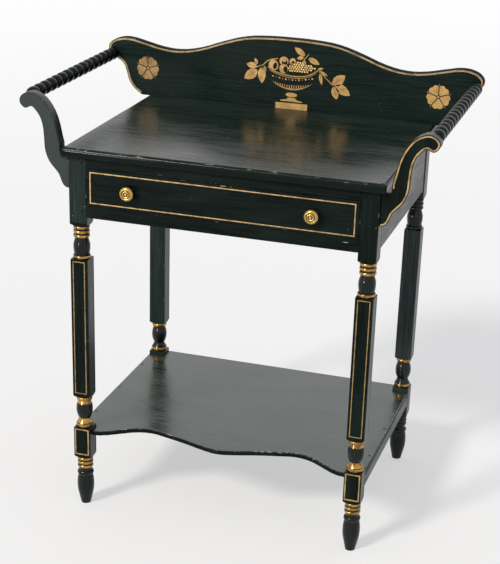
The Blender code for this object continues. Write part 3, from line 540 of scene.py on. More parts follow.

# %% [markdown]
# The left bracket's front shows no gold line. Its faces that look forward get a patchy grey painted
# sheen, the sky's reflection in its varnish painted into the colour, so the edges stay black.

# %% The bracket with a painted sheen
def front_sheen_paint():
    material = black_paint("front_sheen_paint", "Z")
    tree = material.node_tree
    shader = next(node for node in tree.nodes if node.type == "BSDF_PRINCIPLED")
    painted = shader.inputs["Base Color"].links[0].from_socket
    normal = add(tree, "NewGeometry").outputs["Normal"]
    facing = add(tree, "SeparateXYZ", {0: normal}).outputs["Y"]
    front = add(tree, "MapRange", {0: facing, 1: -0.90, 2: -0.98}, **smoothly)
    patchy = marks(tree, "Z", 60, 25)
    patchy = add(tree, "MapRange", {0: patchy, 1: 0.2, 2: 0.8, 3: 0.80, 4: 1.0}, **smoothly)
    painted_sheen = add(tree, "Math", {0: front, 1: patchy}, operation="MULTIPLY")
    # Painted sheen: the forward faces turn a patchy grey, as a reflection of the sky would make them
    colour = add(tree, "Mix", {0: painted_sheen, 6: painted, 7: "#404745"}, data_type="RGBA")
    tree.links.new(colour.outputs[2], shader.inputs["Base Color"])
    return material


make_piece("scroll_bracket_left_painted", eased_board("scroll_bracket_left", 0.0012),
           [front_sheen_paint(), side_paint_along["Z"]], "case", ["scroll_bracket_left"])
print("left bracket: sheen_painted")

# %% [markdown]
# ## The top
#
# The top is one wide board with a thumb moulding: its front and ends are rounded above and below. The
# round is what makes the long bright line along its front, so it is cut in ten small steps here. Cuts
# across the board keep the corners' shading at the corners, or else it would run along the whole front.

# %% The top
nosing_radius = 0.0075
corner_round = 0.004
cuts = {(1, 0, 0): (-0.302, -0.296, -0.15, 0, 0.15, 0.296, 0.302),
        (0, 1, 0): (-0.224, -0.218, -0.10, 0.02, 0.14)}


def rounded_top():
    low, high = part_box("top_board")
    shape = bmesh.new()
    bmesh.ops.create_cube(shape, size=1)
    bmesh.ops.scale(shape, vec=high - low, verts=shape.verts)
    bmesh.ops.translate(shape, vec=(low + high) / 2, verts=shape.verts)
    uprights = [e for e in shape.edges if abs(e.verts[0].co.z - e.verts[1].co.z) > 0.01
                and e.verts[0].co.y < 0]
    bmesh.ops.bevel(shape, geom=uprights, offset=corner_round, segments=6, profile=0.5, affect="EDGES")
    rims = [e for e in shape.edges if abs(e.verts[0].co.z - e.verts[1].co.z) < 0.001
            and min(e.verts[0].co.y, e.verts[1].co.y) < high.y - 0.001]
    bmesh.ops.bevel(shape, geom=rims, offset=nosing_radius, segments=10, profile=0.5, affect="EDGES")
    for across, places in cuts.items():
        for place in places:
            bmesh.ops.bisect_plane(shape, geom=shape.verts[:] + shape.edges[:] + shape.faces[:],
                                   plane_co=Vector(across) * place, plane_no=across)
    edge = shape.loops.layers.float.new("edge")
    for face in shape.faces:
        # The upper round's band carries the edge attribute: its chips and rubbed grey are partly wear and
        # partly a painted highlight
        knocked_and_highlit = 0.50 < face.normal.z < 0.95
        face.material_index = 1 if face.normal.z < 0.93 else 0
        face.smooth = face.calc_area() < 0.02 and abs(face.normal.z) < 0.9999
        for corner in face.loops:
            corner[edge] = 1.0 if knocked_and_highlit else 0.0
    return to_mesh(shape, 50)


top = make_piece("top_board_varnished", rounded_top(), [top_paint, nosing_paint], "case",
                 ["top_board"])
print("top: %.0f mm wide" % (1000 * top.dimensions.x))

# %% [markdown]
# ## Turned profiles
#
# A turner sees a leg as a list of heights and radii. Rings are half-rounds between grooves, the vase and
# the ball are swelling curves, and at each end of a square block the lathe leaves a rounded shoulder.
# A profile here is a list of (radius, height, crest), where crest says how far a point stands out of
# the grooves beside it.

# %% Turned profiles
def swelling(points, steps=6):
    """A smooth curve through (radius, height) points."""
    out = []
    for i in range(len(points) - 1):
        before, start = Vector(points[max(i - 1, 0)]), Vector(points[i])
        end, after = Vector(points[i + 1]), Vector(points[min(i + 2, len(points) - 1)])
        for step in range(steps):
            t = step / steps
            bend = (before * 2 - start * 5 + end * 4 - after) * t * t
            turn = (start * 3 - before - end * 3 + after) * t * t * t
            place = (start * 2 + (end - before) * t + bend + turn) / 2
            out.append((place[0], place[1], 1.0))
    out.append((points[-1][0], points[-1][1], 1.0))
    return out


def half_round(radius, depth, bottom, top, steps=10):
    """A turned ring between two grooves."""
    out = []
    for step in range(steps + 1):
        t = step / steps
        swell = math.sin(math.pi * t) ** 0.55
        out.append((radius - depth + depth * swell, bottom + (top - bottom) * t, math.sin(math.pi * t)))
    return out


def shoulder(radius, turned_height, square_height, steps=14):
    """The rounded corner where turned wood meets a square block, from the turned end on."""
    out = []
    for step in range(steps + 1):
        angle = math.pi / 2 * step / steps
        reach = radius + (block_corner - radius) * math.sin(angle)
        out.append((reach, turned_height + (square_height - turned_height) * (1 - math.cos(angle)), 0.5))
    return out


half_block = 0.0175
eased_corner = 0.001
block_corner = half_block * math.sqrt(2) + 0.001  # a hair outside the square, which stays whole there
print("square block: %.0f mm across, %.1f mm to its corners" % (2000 * half_block, 1000 * block_corner))

# %% [markdown]
# ## The legs
#
# Each leg is one square length of wood. The blocks keep the square, and between them the lathe has cut
# the wood round. Both are one shape: at every height the section is the square, cut down to the
# turning's radius wherever that is smaller. So the leg is a stack of rings of points, and the curved
# lines where a shoulder meets a flat come by themselves.

# %% The legs' profile
def leg_profile():
    ring, groove = 0.0163, 0.0143

    # The foot, its collar and three rings, up to the shelf block
    out = swelling([(0.0100, 0.0), (0.0121, 0.0093), (0.0145, 0.0200), (0.0168, 0.0319), (0.0175, 0.0452),
                    (0.0168, 0.0570), (0.0150, 0.0663)])
    out += half_round(0.0170, 0.0027, 0.0665, 0.0765)
    out += swelling([(0.0138, 0.0768), (0.0133, 0.0794), (0.0140, 0.0821)], 4)
    for bottom in (0.0824, 0.0912, 0.1000):
        out += half_round(ring, ring - groove, bottom + 0.0008, bottom + 0.0080)
    out += shoulder(groove, 0.1088, 0.1160)

    # The collar, the bell, the ball and a ring, up to the long block
    out += reversed(shoulder(0.0160, 0.1775, 0.1750))
    out += half_round(0.0173, 0.0013, 0.1777, 0.1864)
    out += swelling([(0.0160, 0.1868), (0.0141, 0.1897), (0.0127, 0.1930), (0.0119, 0.1962)])
    out += swelling([(0.0119, 0.1964), (0.0147, 0.2029), (0.0163, 0.2096), (0.0168, 0.2162),
                     (0.0163, 0.2229), (0.0147, 0.2295), (0.0121, 0.2360)])
    out += half_round(ring, ring - groove, 0.2362, 0.2450)
    out += shoulder(groove, 0.2450, 0.2522)

    # The collar, the vase and three rings, up to the post
    out += reversed(shoulder(0.0160, 0.5406, 0.5383))
    out += half_round(0.0173, 0.0013, 0.5408, 0.5480)
    out += swelling([(0.0147, 0.5482), (0.0159, 0.5549), (0.0166, 0.5625), (0.0163, 0.5700),
                     (0.0144, 0.5769), (0.0128, 0.5822)])
    for bottom in (0.5824, 0.5912, 0.6000):
        out += half_round(ring, ring - groove, bottom + 0.0008, bottom + 0.0080)
    out += shoulder(groove, 0.6088, 0.6160)
    return out + [(block_corner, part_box("leg_front_left")[1].z, 0.6)]


profile = leg_profile()
print("leg profile:", len(profile), "points,", round(1000 * profile[-1][1]), "mm high")

# %% [markdown]
# The gold on a leg follows the turning: the three rings under the case, the collar, the ring and the
# bell either side of the ball, the three lower rings and one thin line above the foot. The back legs,
# which few people see, got only two touches of it.

# %% Where the gold and the flats are
three_rings = (0.0008, 0.0080), (0.0096, 0.0168), (0.0184, 0.0256)
front_gold = [(0.0663, 0.0681), (0.1776, 0.1975), (0.2290, 0.2470), (0.5407, 0.5481)]
front_gold += [(start + low, start + high) for start in (0.0824, 0.5824) for low, high in three_rings]
back_gold = [(0.1776, 0.1865), (0.2362, 0.2470)]
post_start = 0.62
side_points = 13
flat_angle = math.atan((half_block - eased_corner) / half_block)
leg_angles = [quarter * math.pi / 2 - flat_angle + 2 * flat_angle * step / (side_points - 1)
              for quarter in range(4) for step in range(side_points)]


def square_reach(angle):
    """How far the square block reaches from its axis at an angle, with its corners eased."""
    across, along = abs(math.cos(angle)), abs(math.sin(angle))
    return min(half_block / max(across, along), (2 * half_block - eased_corner) / (across + along))


print("points round a leg:", len(leg_angles))

# %% [markdown]
# A leg has five surfaces: the front and back of its blocks, their sides, the turned wood, the gold on it,
# and the post beside the drawer. The height and the direction of a face say which one it belongs to.

# %% The four legs
def turned_leg(node, gold_heights):
    low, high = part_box(node)
    middle = (low + high) / 2
    shape = bmesh.new()
    crest = shape.verts.layers.float.new("crest")
    edge = shape.loops.layers.float.new("edge")
    rings = []
    for radius, height, stand in profile:
        ring = []
        for angle in leg_angles:
            reach = min(radius, square_reach(angle))
            point = shape.verts.new((middle.x + reach * math.cos(angle),
                                     middle.y + reach * math.sin(angle), height))
            point[crest] = stand
            ring.append(point)
        rings.append(ring)
    count = len(leg_angles)
    for i in range(len(rings) - 1):
        height = (profile[i][1] + profile[i + 1][1]) / 2
        radius = (profile[i][0] + profile[i + 1][0]) / 2
        golden = any(bottom < height < top for bottom, top in gold_heights)
        for j in range(count):
            k = (j + 1) % count
            face = shape.faces.new((rings[i][j], rings[i][k], rings[i + 1][k], rings[i + 1][j]))
            on_corner = j % side_points == side_points - 1
            middle_angle = (leg_angles[j] + leg_angles[k] + (math.tau if k < j else 0)) / 2
            squared = radius > square_reach(middle_angle)
            sideways = abs(math.cos(middle_angle)) > 0.8
            if squared:
                face.material_index = 1 if sideways else (4 if height > post_start else 0)
            else:
                face.material_index = 3 if golden else 2
            for corner in face.loops:
                corner[edge] = 1.0 if on_corner and squared else 0.0
    all_smooth(shape)
    shape.faces.new(reversed(rings[0]))
    shape.faces.new(rings[-1])
    return to_mesh(shape, 32)


for node, gold_heights in (("leg_front_left", front_gold), ("leg_front_right", front_gold),
                           ("leg_back_left", back_gold), ("leg_back_right", back_gold)):
    # The back legs' fronts and the left front post take the lighter paints, which hold painted light
    front = {"leg_back_left": dusty_and_lit_paint, "leg_back_right": painted_lit_paint}.get(node, paint_along["Z"])
    post = dusty_and_lit_paint if node == "leg_front_left" else front
    leg = make_piece(node + "_turned", turned_leg(node, gold_heights),
                     [front, side_paint_along["Z"], turned_paint, ring_gold, post],
                     "case", [node])
    print(leg.name, len(leg.data.polygons), "faces")

# %% [markdown]
# Pegs through the posts hold the rails' tenons. They were cut off flush and painted over, and as the wood
# shrank they came a hair proud, so each shows as a faint round under the paint.

# %% The pegs
peg_steps = 20
peg_proud = 0.0003


def proud_pegs(nodes):
    """Short pegs whose rim tapers a little where they stand out of the post."""
    shape = bmesh.new()
    for node in nodes:
        low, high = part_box(node)
        middle, radius = (low + high) / 2, (high.x - low.x) / 2
        rings = []
        for reach, along in ((radius * 0.8, low.y - peg_proud), (radius, low.y + 0.0001),
                             (radius, high.y)):
            rings.append([shape.verts.new((middle.x + reach * math.cos(math.tau * i / peg_steps), along,
                                           middle.z + reach * math.sin(math.tau * i / peg_steps)))
                          for i in range(peg_steps)])
        for first, second in zip(rings, rings[1:]):
            for i in range(peg_steps):
                shape.faces.new((first[i], first[i - 1], second[i - 1], second[i]))
        shape.faces.new(rings[0])
        shape.faces.new(reversed(rings[-1]))
    bmesh.ops.recalc_face_normals(shape, faces=shape.faces)
    return to_mesh(shape)


pegs = [node for node in frame["nodes"] if node.startswith("peg_")]
make_piece("pegs_painted_over", proud_pegs(pegs), [paint_along["Y"]], "case", pegs)
print("pegs:", len(pegs))

# %% [markdown]
# ## The towel bars
#
# Each bar is turned from one stick into sixteen equal beads, which stop a wet towel from sliding along
# it, and has a thin round tenon at both ends. A lathe profile swept round the bar's own axis makes it.

# %% The towel bars
def turned_about_y(axis_x, axis_z, profile, steps):
    """A solid turned about a line along Y, from (radius, place along Y, crest) points."""
    shape = bmesh.new()
    crest = shape.verts.layers.float.new("crest")
    edge = shape.loops.layers.float.new("edge")
    rings = []
    for radius, along, stand in profile:
        ring = []
        for step in range(steps):
            angle = math.tau * step / steps
            point = shape.verts.new((axis_x + radius * math.cos(angle), along,
                                     axis_z + radius * math.sin(angle)))
            point[crest] = stand
            ring.append(point)
        rings.append(ring)
    for i in range(len(rings) - 1):
        # Bead crests carry part of the edge attribute, so they rub lighter and chip: partly wear, partly
        # a painted highlight
        worn = 0.7 if min(profile[i][2], profile[i + 1][2]) > 0.93 else 0.0
        for j in range(steps):
            k = (j + 1) % steps
            face = shape.faces.new((rings[i][j], rings[i + 1][j], rings[i + 1][k], rings[i][k]))
            for corner in face.loops:
                corner[edge] = worn
    all_smooth(shape)
    shape.faces.new(rings[0])
    shape.faces.new(reversed(rings[-1]))
    return to_mesh(shape, 40)


bar_groove, bar_beads, bar_tenon_radius = 0.0045, 16, 0.005
seat_gap = 0.0003


def towel_bar(node):
    low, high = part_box(node)
    radius = (high.x - low.x) / 2
    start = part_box("scroll_bracket_right")[1].y + seat_gap
    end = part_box("backboard")[0].y - seat_gap
    pitch = (end - start) / bar_beads
    turning = [(bar_tenon_radius, low.y, 0.0), (bar_tenon_radius, start, 0.0)]
    for bead in range(bar_beads):
        turning += half_round(radius, bar_groove, start + bead * pitch, start + (bead + 1) * pitch, 12)
    turning += [(bar_tenon_radius, end, 0.0), (bar_tenon_radius, high.y, 0.0)]
    return turned_about_y((low.x + high.x) / 2, (low.z + high.z) / 2, turning, 32)


bar_paint = black_paint("towel_bar_paint", "X", rough=(0.07, 0.13), shine=0.08, chips=0.68)
for node in ("towel_bar_left", "towel_bar_right"):
    bar = make_piece(node + "_turned", towel_bar(node), [bar_paint], "case", [node])
    print(bar.name, len(bar.data.polygons), "faces")

# %% [markdown]
# ## The knobs
#
# The drawer pulls are small turned brass knobs with a domed middle and two ridges round it. The grooves
# between them hold old polish and look brown, and the ridges are bright.

# %% The knobs
case_front = -0.225
shank_radius = 0.0025

# How wide and how deep each point is, as shares of the knob's radius and depth, and how far it stands out
knob_profile = (
    (0.00, 0.000, 1.0), (0.08, 0.004, 1.0), (0.14, 0.020, 0.8), (0.18, 0.060, 0.2),
    (0.24, 0.075, 0.0), (0.29, 0.055, 0.3), (0.34, 0.030, 1.0), (0.40, 0.020, 1.0),
    (0.46, 0.035, 0.9), (0.50, 0.080, 0.2), (0.54, 0.105, 0.0), (0.59, 0.090, 0.2),
    (0.66, 0.075, 0.9), (0.73, 0.082, 1.0), (0.80, 0.115, 1.0), (0.88, 0.160, 1.0),
    (0.95, 0.220, 1.0), (0.99, 0.280, 1.0), (1.00, 0.330, 1.0), (0.98, 0.380, 0.9),
    (0.92, 0.425, 0.8), (0.80, 0.475, 0.7), (0.62, 0.525, 0.5), (0.48, 0.575, 0.4),
    (0.40, 0.640, 0.4), (0.38, 0.720, 0.4), (0.38, 0.800, 0.3), (0.41, 0.850, 0.3),
    (0.58, 0.890, 0.6), (0.585, 0.950, 0.6), (0.585, 0.985, 0.4))


def brass_knob(node):
    low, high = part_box(node)
    radius = (high.x - low.x) / 2
    depth = case_front - low.y
    turning = [(max(radius * wide, 0.00002), low.y + depth * deep, stand)
               for wide, deep, stand in knob_profile]
    turning += [(shank_radius, case_front - seat_gap, 0.2), (shank_radius, high.y, 0.2)]
    return turned_about_y((low.x + high.x) / 2, (low.z + high.z) / 2, turning, 48)


for node in ("knob_left", "knob_right"):
    knob = make_piece(node + "_brass", brass_knob(node), [brass], "drawer", [node])
    print(knob.name, "%.0f mm across" % (1000 * knob.dimensions.x))

# %% [markdown]
# ## The bare wood and the ironwork
#
# The drawer's sides, back and bottom get softly eased edges too, since they show when it is open. What
# stays hidden, such as runners, blocks, pegs and nails, keeps the model's own shape and gets the finish
# of its wood or iron, with the grain along its longest side.

# %% The bare wood and the ironwork
for node in ("drawer_side_left", "drawer_side_right", "drawer_back", "drawer_bottom"):
    make_piece(node + "_planed", eased_board(node, 0.0004, 1), [pine_along[grain_axis(node)]] * 2,
               "drawer", [node])

dressed = 0
slots = {entry["node"]: entry["material_slot"] for entry in frame["record"]["subparts"]}
for node, thing in frame["nodes"].items():
    if thing.hide_render:
        continue
    axis = grain_axis(node)
    finishes = {"bare_pine": pine_along[axis], "black_paint": paint_along[axis],
                "iron": iron, "brass": brass}
    for place in thing.material_slots:
        place.material = finishes[slots[node]]
    dressed += 1
print("model pieces with a new finish:", dressed)

# %% [markdown]
# ## Painted lines
#
# A striper pulls a long soft brush along the wood and leaves a line of even but living width. The lines
# are thin ribbons that lie just off the surface, with a little wander in their edges.

# %% Ribbons of paint
paint_lift = 0.00015
wanders_per_metre = 120


def ribbon(shape, points, width, place, closed=False, wander=0.12):
    """Adds a flat ribbon along 2D points; place turns each 2D point into a point in space."""
    count = len(points)
    sides = []
    for i, (u, v) in enumerate(points):
        if closed:
            before, after = points[i - 1], points[(i + 1) % count]
        else:
            before, after = points[max(i - 1, 0)], points[min(i + 1, count - 1)]
        into = Vector((u - before[0], v - before[1]))
        out = Vector((after[0] - u, after[1] - v))
        into = into.normalized() if into.length > 0 else out.normalized()
        out = out.normalized() if out.length > 0 else into
        along = (into + out).normalized()
        normal = Vector((-along.y, along.x))
        stretch = 1 / max(abs(normal.dot(Vector((-into.y, into.x)))), 0.5)
        spread = 1 + wander * noise.noise(Vector((u * wanders_per_metre, v * wanders_per_metre,
                                                  width * 900)))
        half = width / 2 * stretch * spread
        sides.append((shape.verts.new(place(u + normal.x * half, v + normal.y * half)),
                      shape.verts.new(place(u - normal.x * half, v - normal.y * half))))
    for i in range(count if closed else count - 1):
        j = (i + 1) % count
        shape.faces.new((sides[i][0], sides[i][1], sides[j][1], sides[j][0]))


def facing_front(y):
    """Puts a 2D point (x, z) on a plane that looks forward."""
    return lambda u, v: (u, y - paint_lift, v)


def rectangle(low_x, low_z, high_x, high_z, step=0.012):
    """The points of a rectangle, close enough for its lines to wander a little."""
    corners = ((low_x, low_z), (high_x, low_z), (high_x, high_z), (low_x, high_z))
    out = []
    for i, (u, v) in enumerate(corners):
        end = corners[(i + 1) % 4]
        length = math.hypot(end[0] - u, end[1] - v)
        parts = max(2, round(length / step))
        for part in range(parts):
            t = part / parts
            out.append((u + (end[0] - u) * t, v + (end[1] - v) * t))
    return out


def finish_paint(name, shape, body, material):
    """Makes a piece of a film of paint, with all its faces turned forward."""
    bmesh.ops.recalc_face_normals(shape, faces=shape.faces)
    for face in shape.faces:
        if face.normal.y > 0:
            face.normal_flip()
    return make_piece(name, to_mesh(shape), [material], body)


print("a line stands %.2f mm off the wood" % (1000 * paint_lift))

# %% [markdown]
# The front legs have a frame of gold on their long block and on their shelf block, and the drawer has
# one on its front. The leg's long frame is thin and rubbed, and the short one is fresh and bold.

# %% The frames on the blocks and the drawer
leg_place = 0.2855

# Half of the frame's width, its bottom and its top, its line's width and its gold
block_frames = {"leg_lines": (0.0118, 0.2553, 0.5357, 0.0018, leg_line_gold),
                "block_lines": (0.0140, 0.1177, 0.1734, 0.0025, line_gold)}
for side_name, middle in (("left", -leg_place), ("right", leg_place)):
    for name, (half, bottom, top_line, width, gold) in block_frames.items():
        lines = bmesh.new()
        ribbon(lines, rectangle(middle - half, bottom, middle + half, top_line), width,
               facing_front(case_front), closed=True)
        finish_paint(name + "_" + side_name, lines, "case", gold)

lines = bmesh.new()
ribbon(lines, rectangle(-0.259, 0.6587, 0.259, 0.7188), 0.0021, facing_front(case_front), closed=True)
finish_paint("drawer_line", lines, "drawer", line_gold)
print("frames: 5")

# %% [markdown]
# ## Nicks
#
# Two centuries of use have left small nicks where the paint is knocked off to the pale wood or ground
# coat: over the drawer, along its front, and at the ends of the lower rail. Each is one small ragged
# patch on the paint.

# %% Nicks
nick_points = 11
raggedness = 0.45


def nick(shape, centre, size, place, seed):
    """A small ragged patch round a 2D point."""
    points = []
    for step in range(nick_points):
        angle = math.tau * step / nick_points
        way_out = Vector((math.cos(angle) * 2, math.sin(angle) * 2, seed * 7.3))
        reach = 1 + raggedness * noise.noise(way_out)
        points.append(shape.verts.new(place(centre[0] + size[0] / 2 * reach * math.cos(angle),
                                            centre[1] + size[1] / 2 * reach * math.sin(angle))))
    shape.faces.new(points)


def bared_wood():
    """Pale grey-brown wood and ground coat, with dark patches of dirt."""
    material, tree = blank_material("bared_wood")
    dirt = marks(tree, "X", 3, 1.2, detail=4.0)
    colour = layer(tree, "#9a9684", "#504c3c", dirt, 0.42, 0.62)
    gloss = add(tree, "MapRange", {0: dirt, 1: 0.3, 2: 0.7, 3: 0.6, 4: 0.8}, **smoothly)
    shader = add(tree, "BsdfPrincipled", {"Base Color": colour, "Roughness": gloss})
    add(tree, "OutputMaterial", {"Surface": shader})
    return material


knocked_off = bared_wood()

# For each body the first nick's seed, and each nick's middle and size
nicks = {"case": (0, (((0.244, 0.6452), (0.012, 0.0018)), ((0.2990, 0.6790), (0.0012, 0.0020)),
                      ((-0.2710, 0.6500), (0.0035, 0.0010)), ((-0.118, 0.7300), (0.007, 0.0007)),
                      ((-0.2960, 0.6290), (0.0010, 0.0022)))),
         "drawer": (20, (((0.006, 0.7235), (0.013, 0.0017)), ((0.022, 0.7240), (0.004, 0.0010)),
                         ((0.128, 0.6545), (0.005, 0.0007)), ((0.247, 0.6700), (0.0010, 0.0012))))}
for body, (first_seed, places) in nicks.items():
    patches = bmesh.new()
    for seed, (centre, size) in enumerate(places, first_seed):
        nick(patches, centre, size, facing_front(case_front), seed)
    finish_paint(body + "_nicks", patches, body, knocked_off)
    print(body, "nicks:", len(places))

# %% [markdown]
# The backboard and the right bracket have a line that keeps one distance from their sawn edge. The
# front face's own outline gives the way, and each point is moved inwards by that distance.

# %% The way of a line along a sawn edge
way_step = 0.001


def front_outline(node):
    """The (x, z) points round the front face of a board."""
    shape = flat_faced(node)
    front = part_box(node)[0].y

    def on_front(face):
        return face.normal.y < -0.99 and abs(face.calc_center_median().y - front) < 0.0005

    beside = {}
    for edge in shape.edges:
        if sum(on_front(face) for face in edge.link_faces) == 1:
            for point in edge.verts:
                beside.setdefault(point, []).append(edge.other_vert(point))
    loops, seen = [], set()
    for point in beside:
        loop = []
        while point and point not in seen:
            seen.add(point)
            loop.append((point.co.x, point.co.z))
            point = next((other for other in beside[point] if other not in seen), None)
        loops.append(loop)
    shape.free()
    return max(loops, key=len)


def moved_in(points, distance):
    """A closed outline moved inwards by a distance."""
    area = sum(points[i - 1][0] * points[i][1] - points[i][0] * points[i - 1][1]
               for i in range(len(points)))
    way = 1 if area > 0 else -1
    out = []
    for i, (u, v) in enumerate(points):
        before, after = points[i - 1], points[(i + 1) % len(points)]
        along = Vector((u - before[0], v - before[1])).normalized()
        along = (along + Vector((after[0] - u, after[1] - v)).normalized()).normalized()
        out.append((u - along.y * distance * way, v + along.x * distance * way))
    return out


def evenly(points, step):
    """The same way with a point every step."""
    out, carry = [points[0]], 0.0
    for i in range(len(points) - 1):
        start, end = Vector(points[i]), Vector(points[i + 1])
        length = (end - start).length
        while carry + length >= step and length > 0:
            start = start + (end - start) * ((step - carry) / length)
            length = (end - start).length
            out.append(tuple(start))
            carry = 0.0
        carry += length
    return out


def open_part(points, kept):
    """The longest run of a closed outline whose points are kept."""
    points = evenly(points + points[:1], way_step)
    first = next(i for i in range(len(points)) if kept(points[i]) and not kept(points[i - 1]))
    points = points[first:] + points[:first]
    runs = [[]]
    for point in points:
        if kept(point):
            runs[-1].append(point)
        elif runs[-1]:
            runs.append([])
    return max(runs, key=len)


def edge_line(name, node, inset, kept, step, width, gold):
    """Paints a line at one distance from a board's sawn edge, along the part of it that is kept."""
    way = open_part(moved_in(front_outline(node), inset), kept)
    lines = bmesh.new()
    ribbon(lines, evenly(way, step), width, facing_front(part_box(node)[0].y))
    finish_paint(name, lines, "case", gold)
    print("%s: %.2f m" % (name, len(way) * way_step))


# %% [markdown]
# The backboard's line runs along its scrolled edge and down both ears, and stops above the top. The
# bracket's line starts beside the post, goes round the scroll, and comes down the outer edge to the foot.

# %% The backboard's and the bracket's line
line_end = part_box("top_board")[1].z + 0.0035
post_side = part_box("leg_front_right")[1].x
inner_start = 0.7515
foot_gap, foot_height, foot_slope = 0.0088, 0.70, 0.45


def above_the_top(point):
    return point[1] > line_end


def clear_of_post(point):
    """Above the point where the inner line starts, or on the outer side of the bracket's foot."""
    foot_edge = post_side + foot_gap + (point[1] - foot_height) * foot_slope
    return point[1] > inner_start or point[0] > foot_edge


edge_line("backboard_line", "backboard", 0.0033, above_the_top, 0.005, 0.0034, faded_line)
edge_line("bracket_line", "scroll_bracket_right", 0.0030, clear_of_post, 0.003, 0.0027, line_gold)

# %% [markdown]
# ## The stencil
#
# The bowl of fruit and the two flowers are a stencil of the usual country kind. The painter lays a
# pierced sheet on tacky varnish and rubs bronze powder through the holes, so the picture is made of
# separate flat shapes with black bridges between them. Each shape here is one flat face or a small
# strip of faces: leaves in two halves, fruit as rings with a dark shadow, ribs, beads and steps.
# Their places are in millimetres, across from the board's middle and up from the floor.

# %% The stencil's shapes
lay_on_board = facing_front(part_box("backboard")[0].y)


def on_board(point):
    return lay_on_board(point[0] / 1000, point[1] / 1000)


def oval(centre, radii, tilt=0.0, steps=28):
    """The points of an oval."""
    out = []
    for step in range(steps):
        angle = math.tau * step / steps
        u, v = radii[0] * math.cos(angle), radii[1] * math.sin(angle)
        out.append((centre[0] + u * math.cos(tilt) - v * math.sin(tilt),
                    centre[1] + u * math.sin(tilt) + v * math.cos(tilt)))
    return out


def flat_shape(shape, points):
    shape.faces.new([shape.verts.new(on_board(point)) for point in points])


def hollow_shape(shape, outer, inner):
    """The area between two outlines with the same number of points."""
    rims = [[shape.verts.new(on_board(point)) for point in rim] for rim in (outer, inner)]
    for i in range(len(outer)):
        j = (i + 1) % len(outer)
        shape.faces.new((rims[0][i], rims[0][j], rims[1][j], rims[1][i]))


def leaf(shape, base, tip, width, vein=0.7, steps=9):
    """A leaf in two halves, with a bare vein between them and slightly toothed edges."""
    base, tip = Vector(base), Vector(tip)
    along = tip - base
    across = Vector((-along.y, along.x)).normalized()
    for side in (-1, 1):
        rim, spine = [], []
        for step in range(steps + 1):
            t = step / steps
            swell = math.sin(math.pi * t ** 0.85) ** 0.8 if 0 < t < 1 else 0.0
            tooth = 1.0 + (0.07 if step % 2 else -0.03)
            gap = vein / 2 * (1 - t * 0.7)
            spine.append(base + along * t + across * side * gap)
            rim.append(base + along * t + across * side * max(width / 2 * swell * tooth, gap + 0.05))
        for i in range(steps):
            flat_shape(shape, (spine[i], spine[i + 1], rim[i + 1], rim[i]))


def stem(shape, points, width):
    curve = [(point[0] / 1000, point[1] / 1000) for point in swelling(points, 6)]
    ribbon(shape, curve, width / 1000, lay_on_board, wander=0.2)


print("an oval has", len(oval((0, 0), (1, 1))), "points")

# %% [markdown]
# The bowl stands on a stepped foot. Its side is a row of upright ribs over a solid band, with a string of
# large and small beads above them, under a rim of two thin lines that sag in the middle.

# %% The bowl and its foot
rib_count, bead_count = 19, 13


def bowl_and_foot(shape):
    flat_shape(shape, [(-18.5, 781.4), (29, 781.0), (29, 782.6), (17.5, 785.2),
                       (12.6, 789.6), (-2.2, 789.6), (-6.5, 785.4), (-18.5, 783.4)])
    flat_shape(shape, oval((5, 795.6), (12.4, 4.6)))
    arc_low, arc_high = [], []
    for i in range(rib_count):
        t = i / (rib_count - 1)
        across = -39.5 + 88.5 * t
        low = 824.2 - 18.6 * math.sin(math.pi * t) ** 0.72
        high = 824.4 - 8.6 * math.sin(math.pi * t) ** 0.55
        arc_low.append((across, low))
        arc_high.append((across, low + (high - low) * 0.30))
        if 1 < i < rib_count - 2:
            lean = (t - 0.5) * 2.4
            flat_shape(shape, [(across - 0.7, low + 0.6), (across + 0.7, low + 0.6),
                               (across + 0.9 + lean, high - 0.8), (across + lean, high + 0.8),
                               (across - 0.9 + lean, high - 0.8)])
    for i in range(rib_count - 1):
        flat_shape(shape, [arc_low[i], arc_low[i + 1], arc_high[i + 1], arc_high[i]])
    for i in range(bead_count):
        t = i / (bead_count - 1)
        place = (-36.5 + 85 * t, 831.6 - 5.6 * math.sin(math.pi * t) + 1.6 * t)
        flat_shape(shape, oval(place, (2.0, 1.7) if i % 2 == 0 else (1.0, 1.0), steps=12))
    stem(shape, [(-48.5, 850.2), (-36, 842.8), (-20, 838.2), (0, 835.2), (17, 834.9), (33, 837.4),
                 (46, 842.6), (60.5, 852.2)], 1.8)
    stem(shape, [(-45.5, 845.6), (-34, 839.0), (-20, 834.6), (0, 831.4), (17, 831.1), (33, 833.8),
                 (45, 838.6), (57.0, 847.2)], 1.1)


stencil = bmesh.new()
bowl_and_foot(stencil)
print("the bowl and its foot:", len(stencil.faces), "faces")

# %% [markdown]
# Round fruit heaps up on the left. Each is an oval with a smaller one cut out of it for its shadow. The
# berries on the right are small dots in rows, nudged out of line by a noise that is the same each run.
# They were dusted with fresher powder, so they are a piece of their own.

# %% Fruit and berries
def fruit(shape):
    hollow_shape(shape, oval((-36, 854.4), (10.4, 11.2), 0.3), oval((-32.6, 852.8), (4.2, 7.2), -0.25))
    hollow_shape(shape, oval((-13.6, 864.6), (9.8, 9.2)), oval((-12.4, 861.6), (6.2, 5.4)))
    flat_shape(shape, oval((-13.2, 864.8), (3.2, 2.4)))
    hollow_shape(shape, oval((-13.6, 848.6), (9.6, 9.6), 0.4), oval((-9.8, 847.4), (4.8, 6.8), 0.1))
    hollow_shape(shape, oval((5.2, 864.4), (6.9, 7.8)), oval((6.4, 861.8), (3.9, 4.8)))


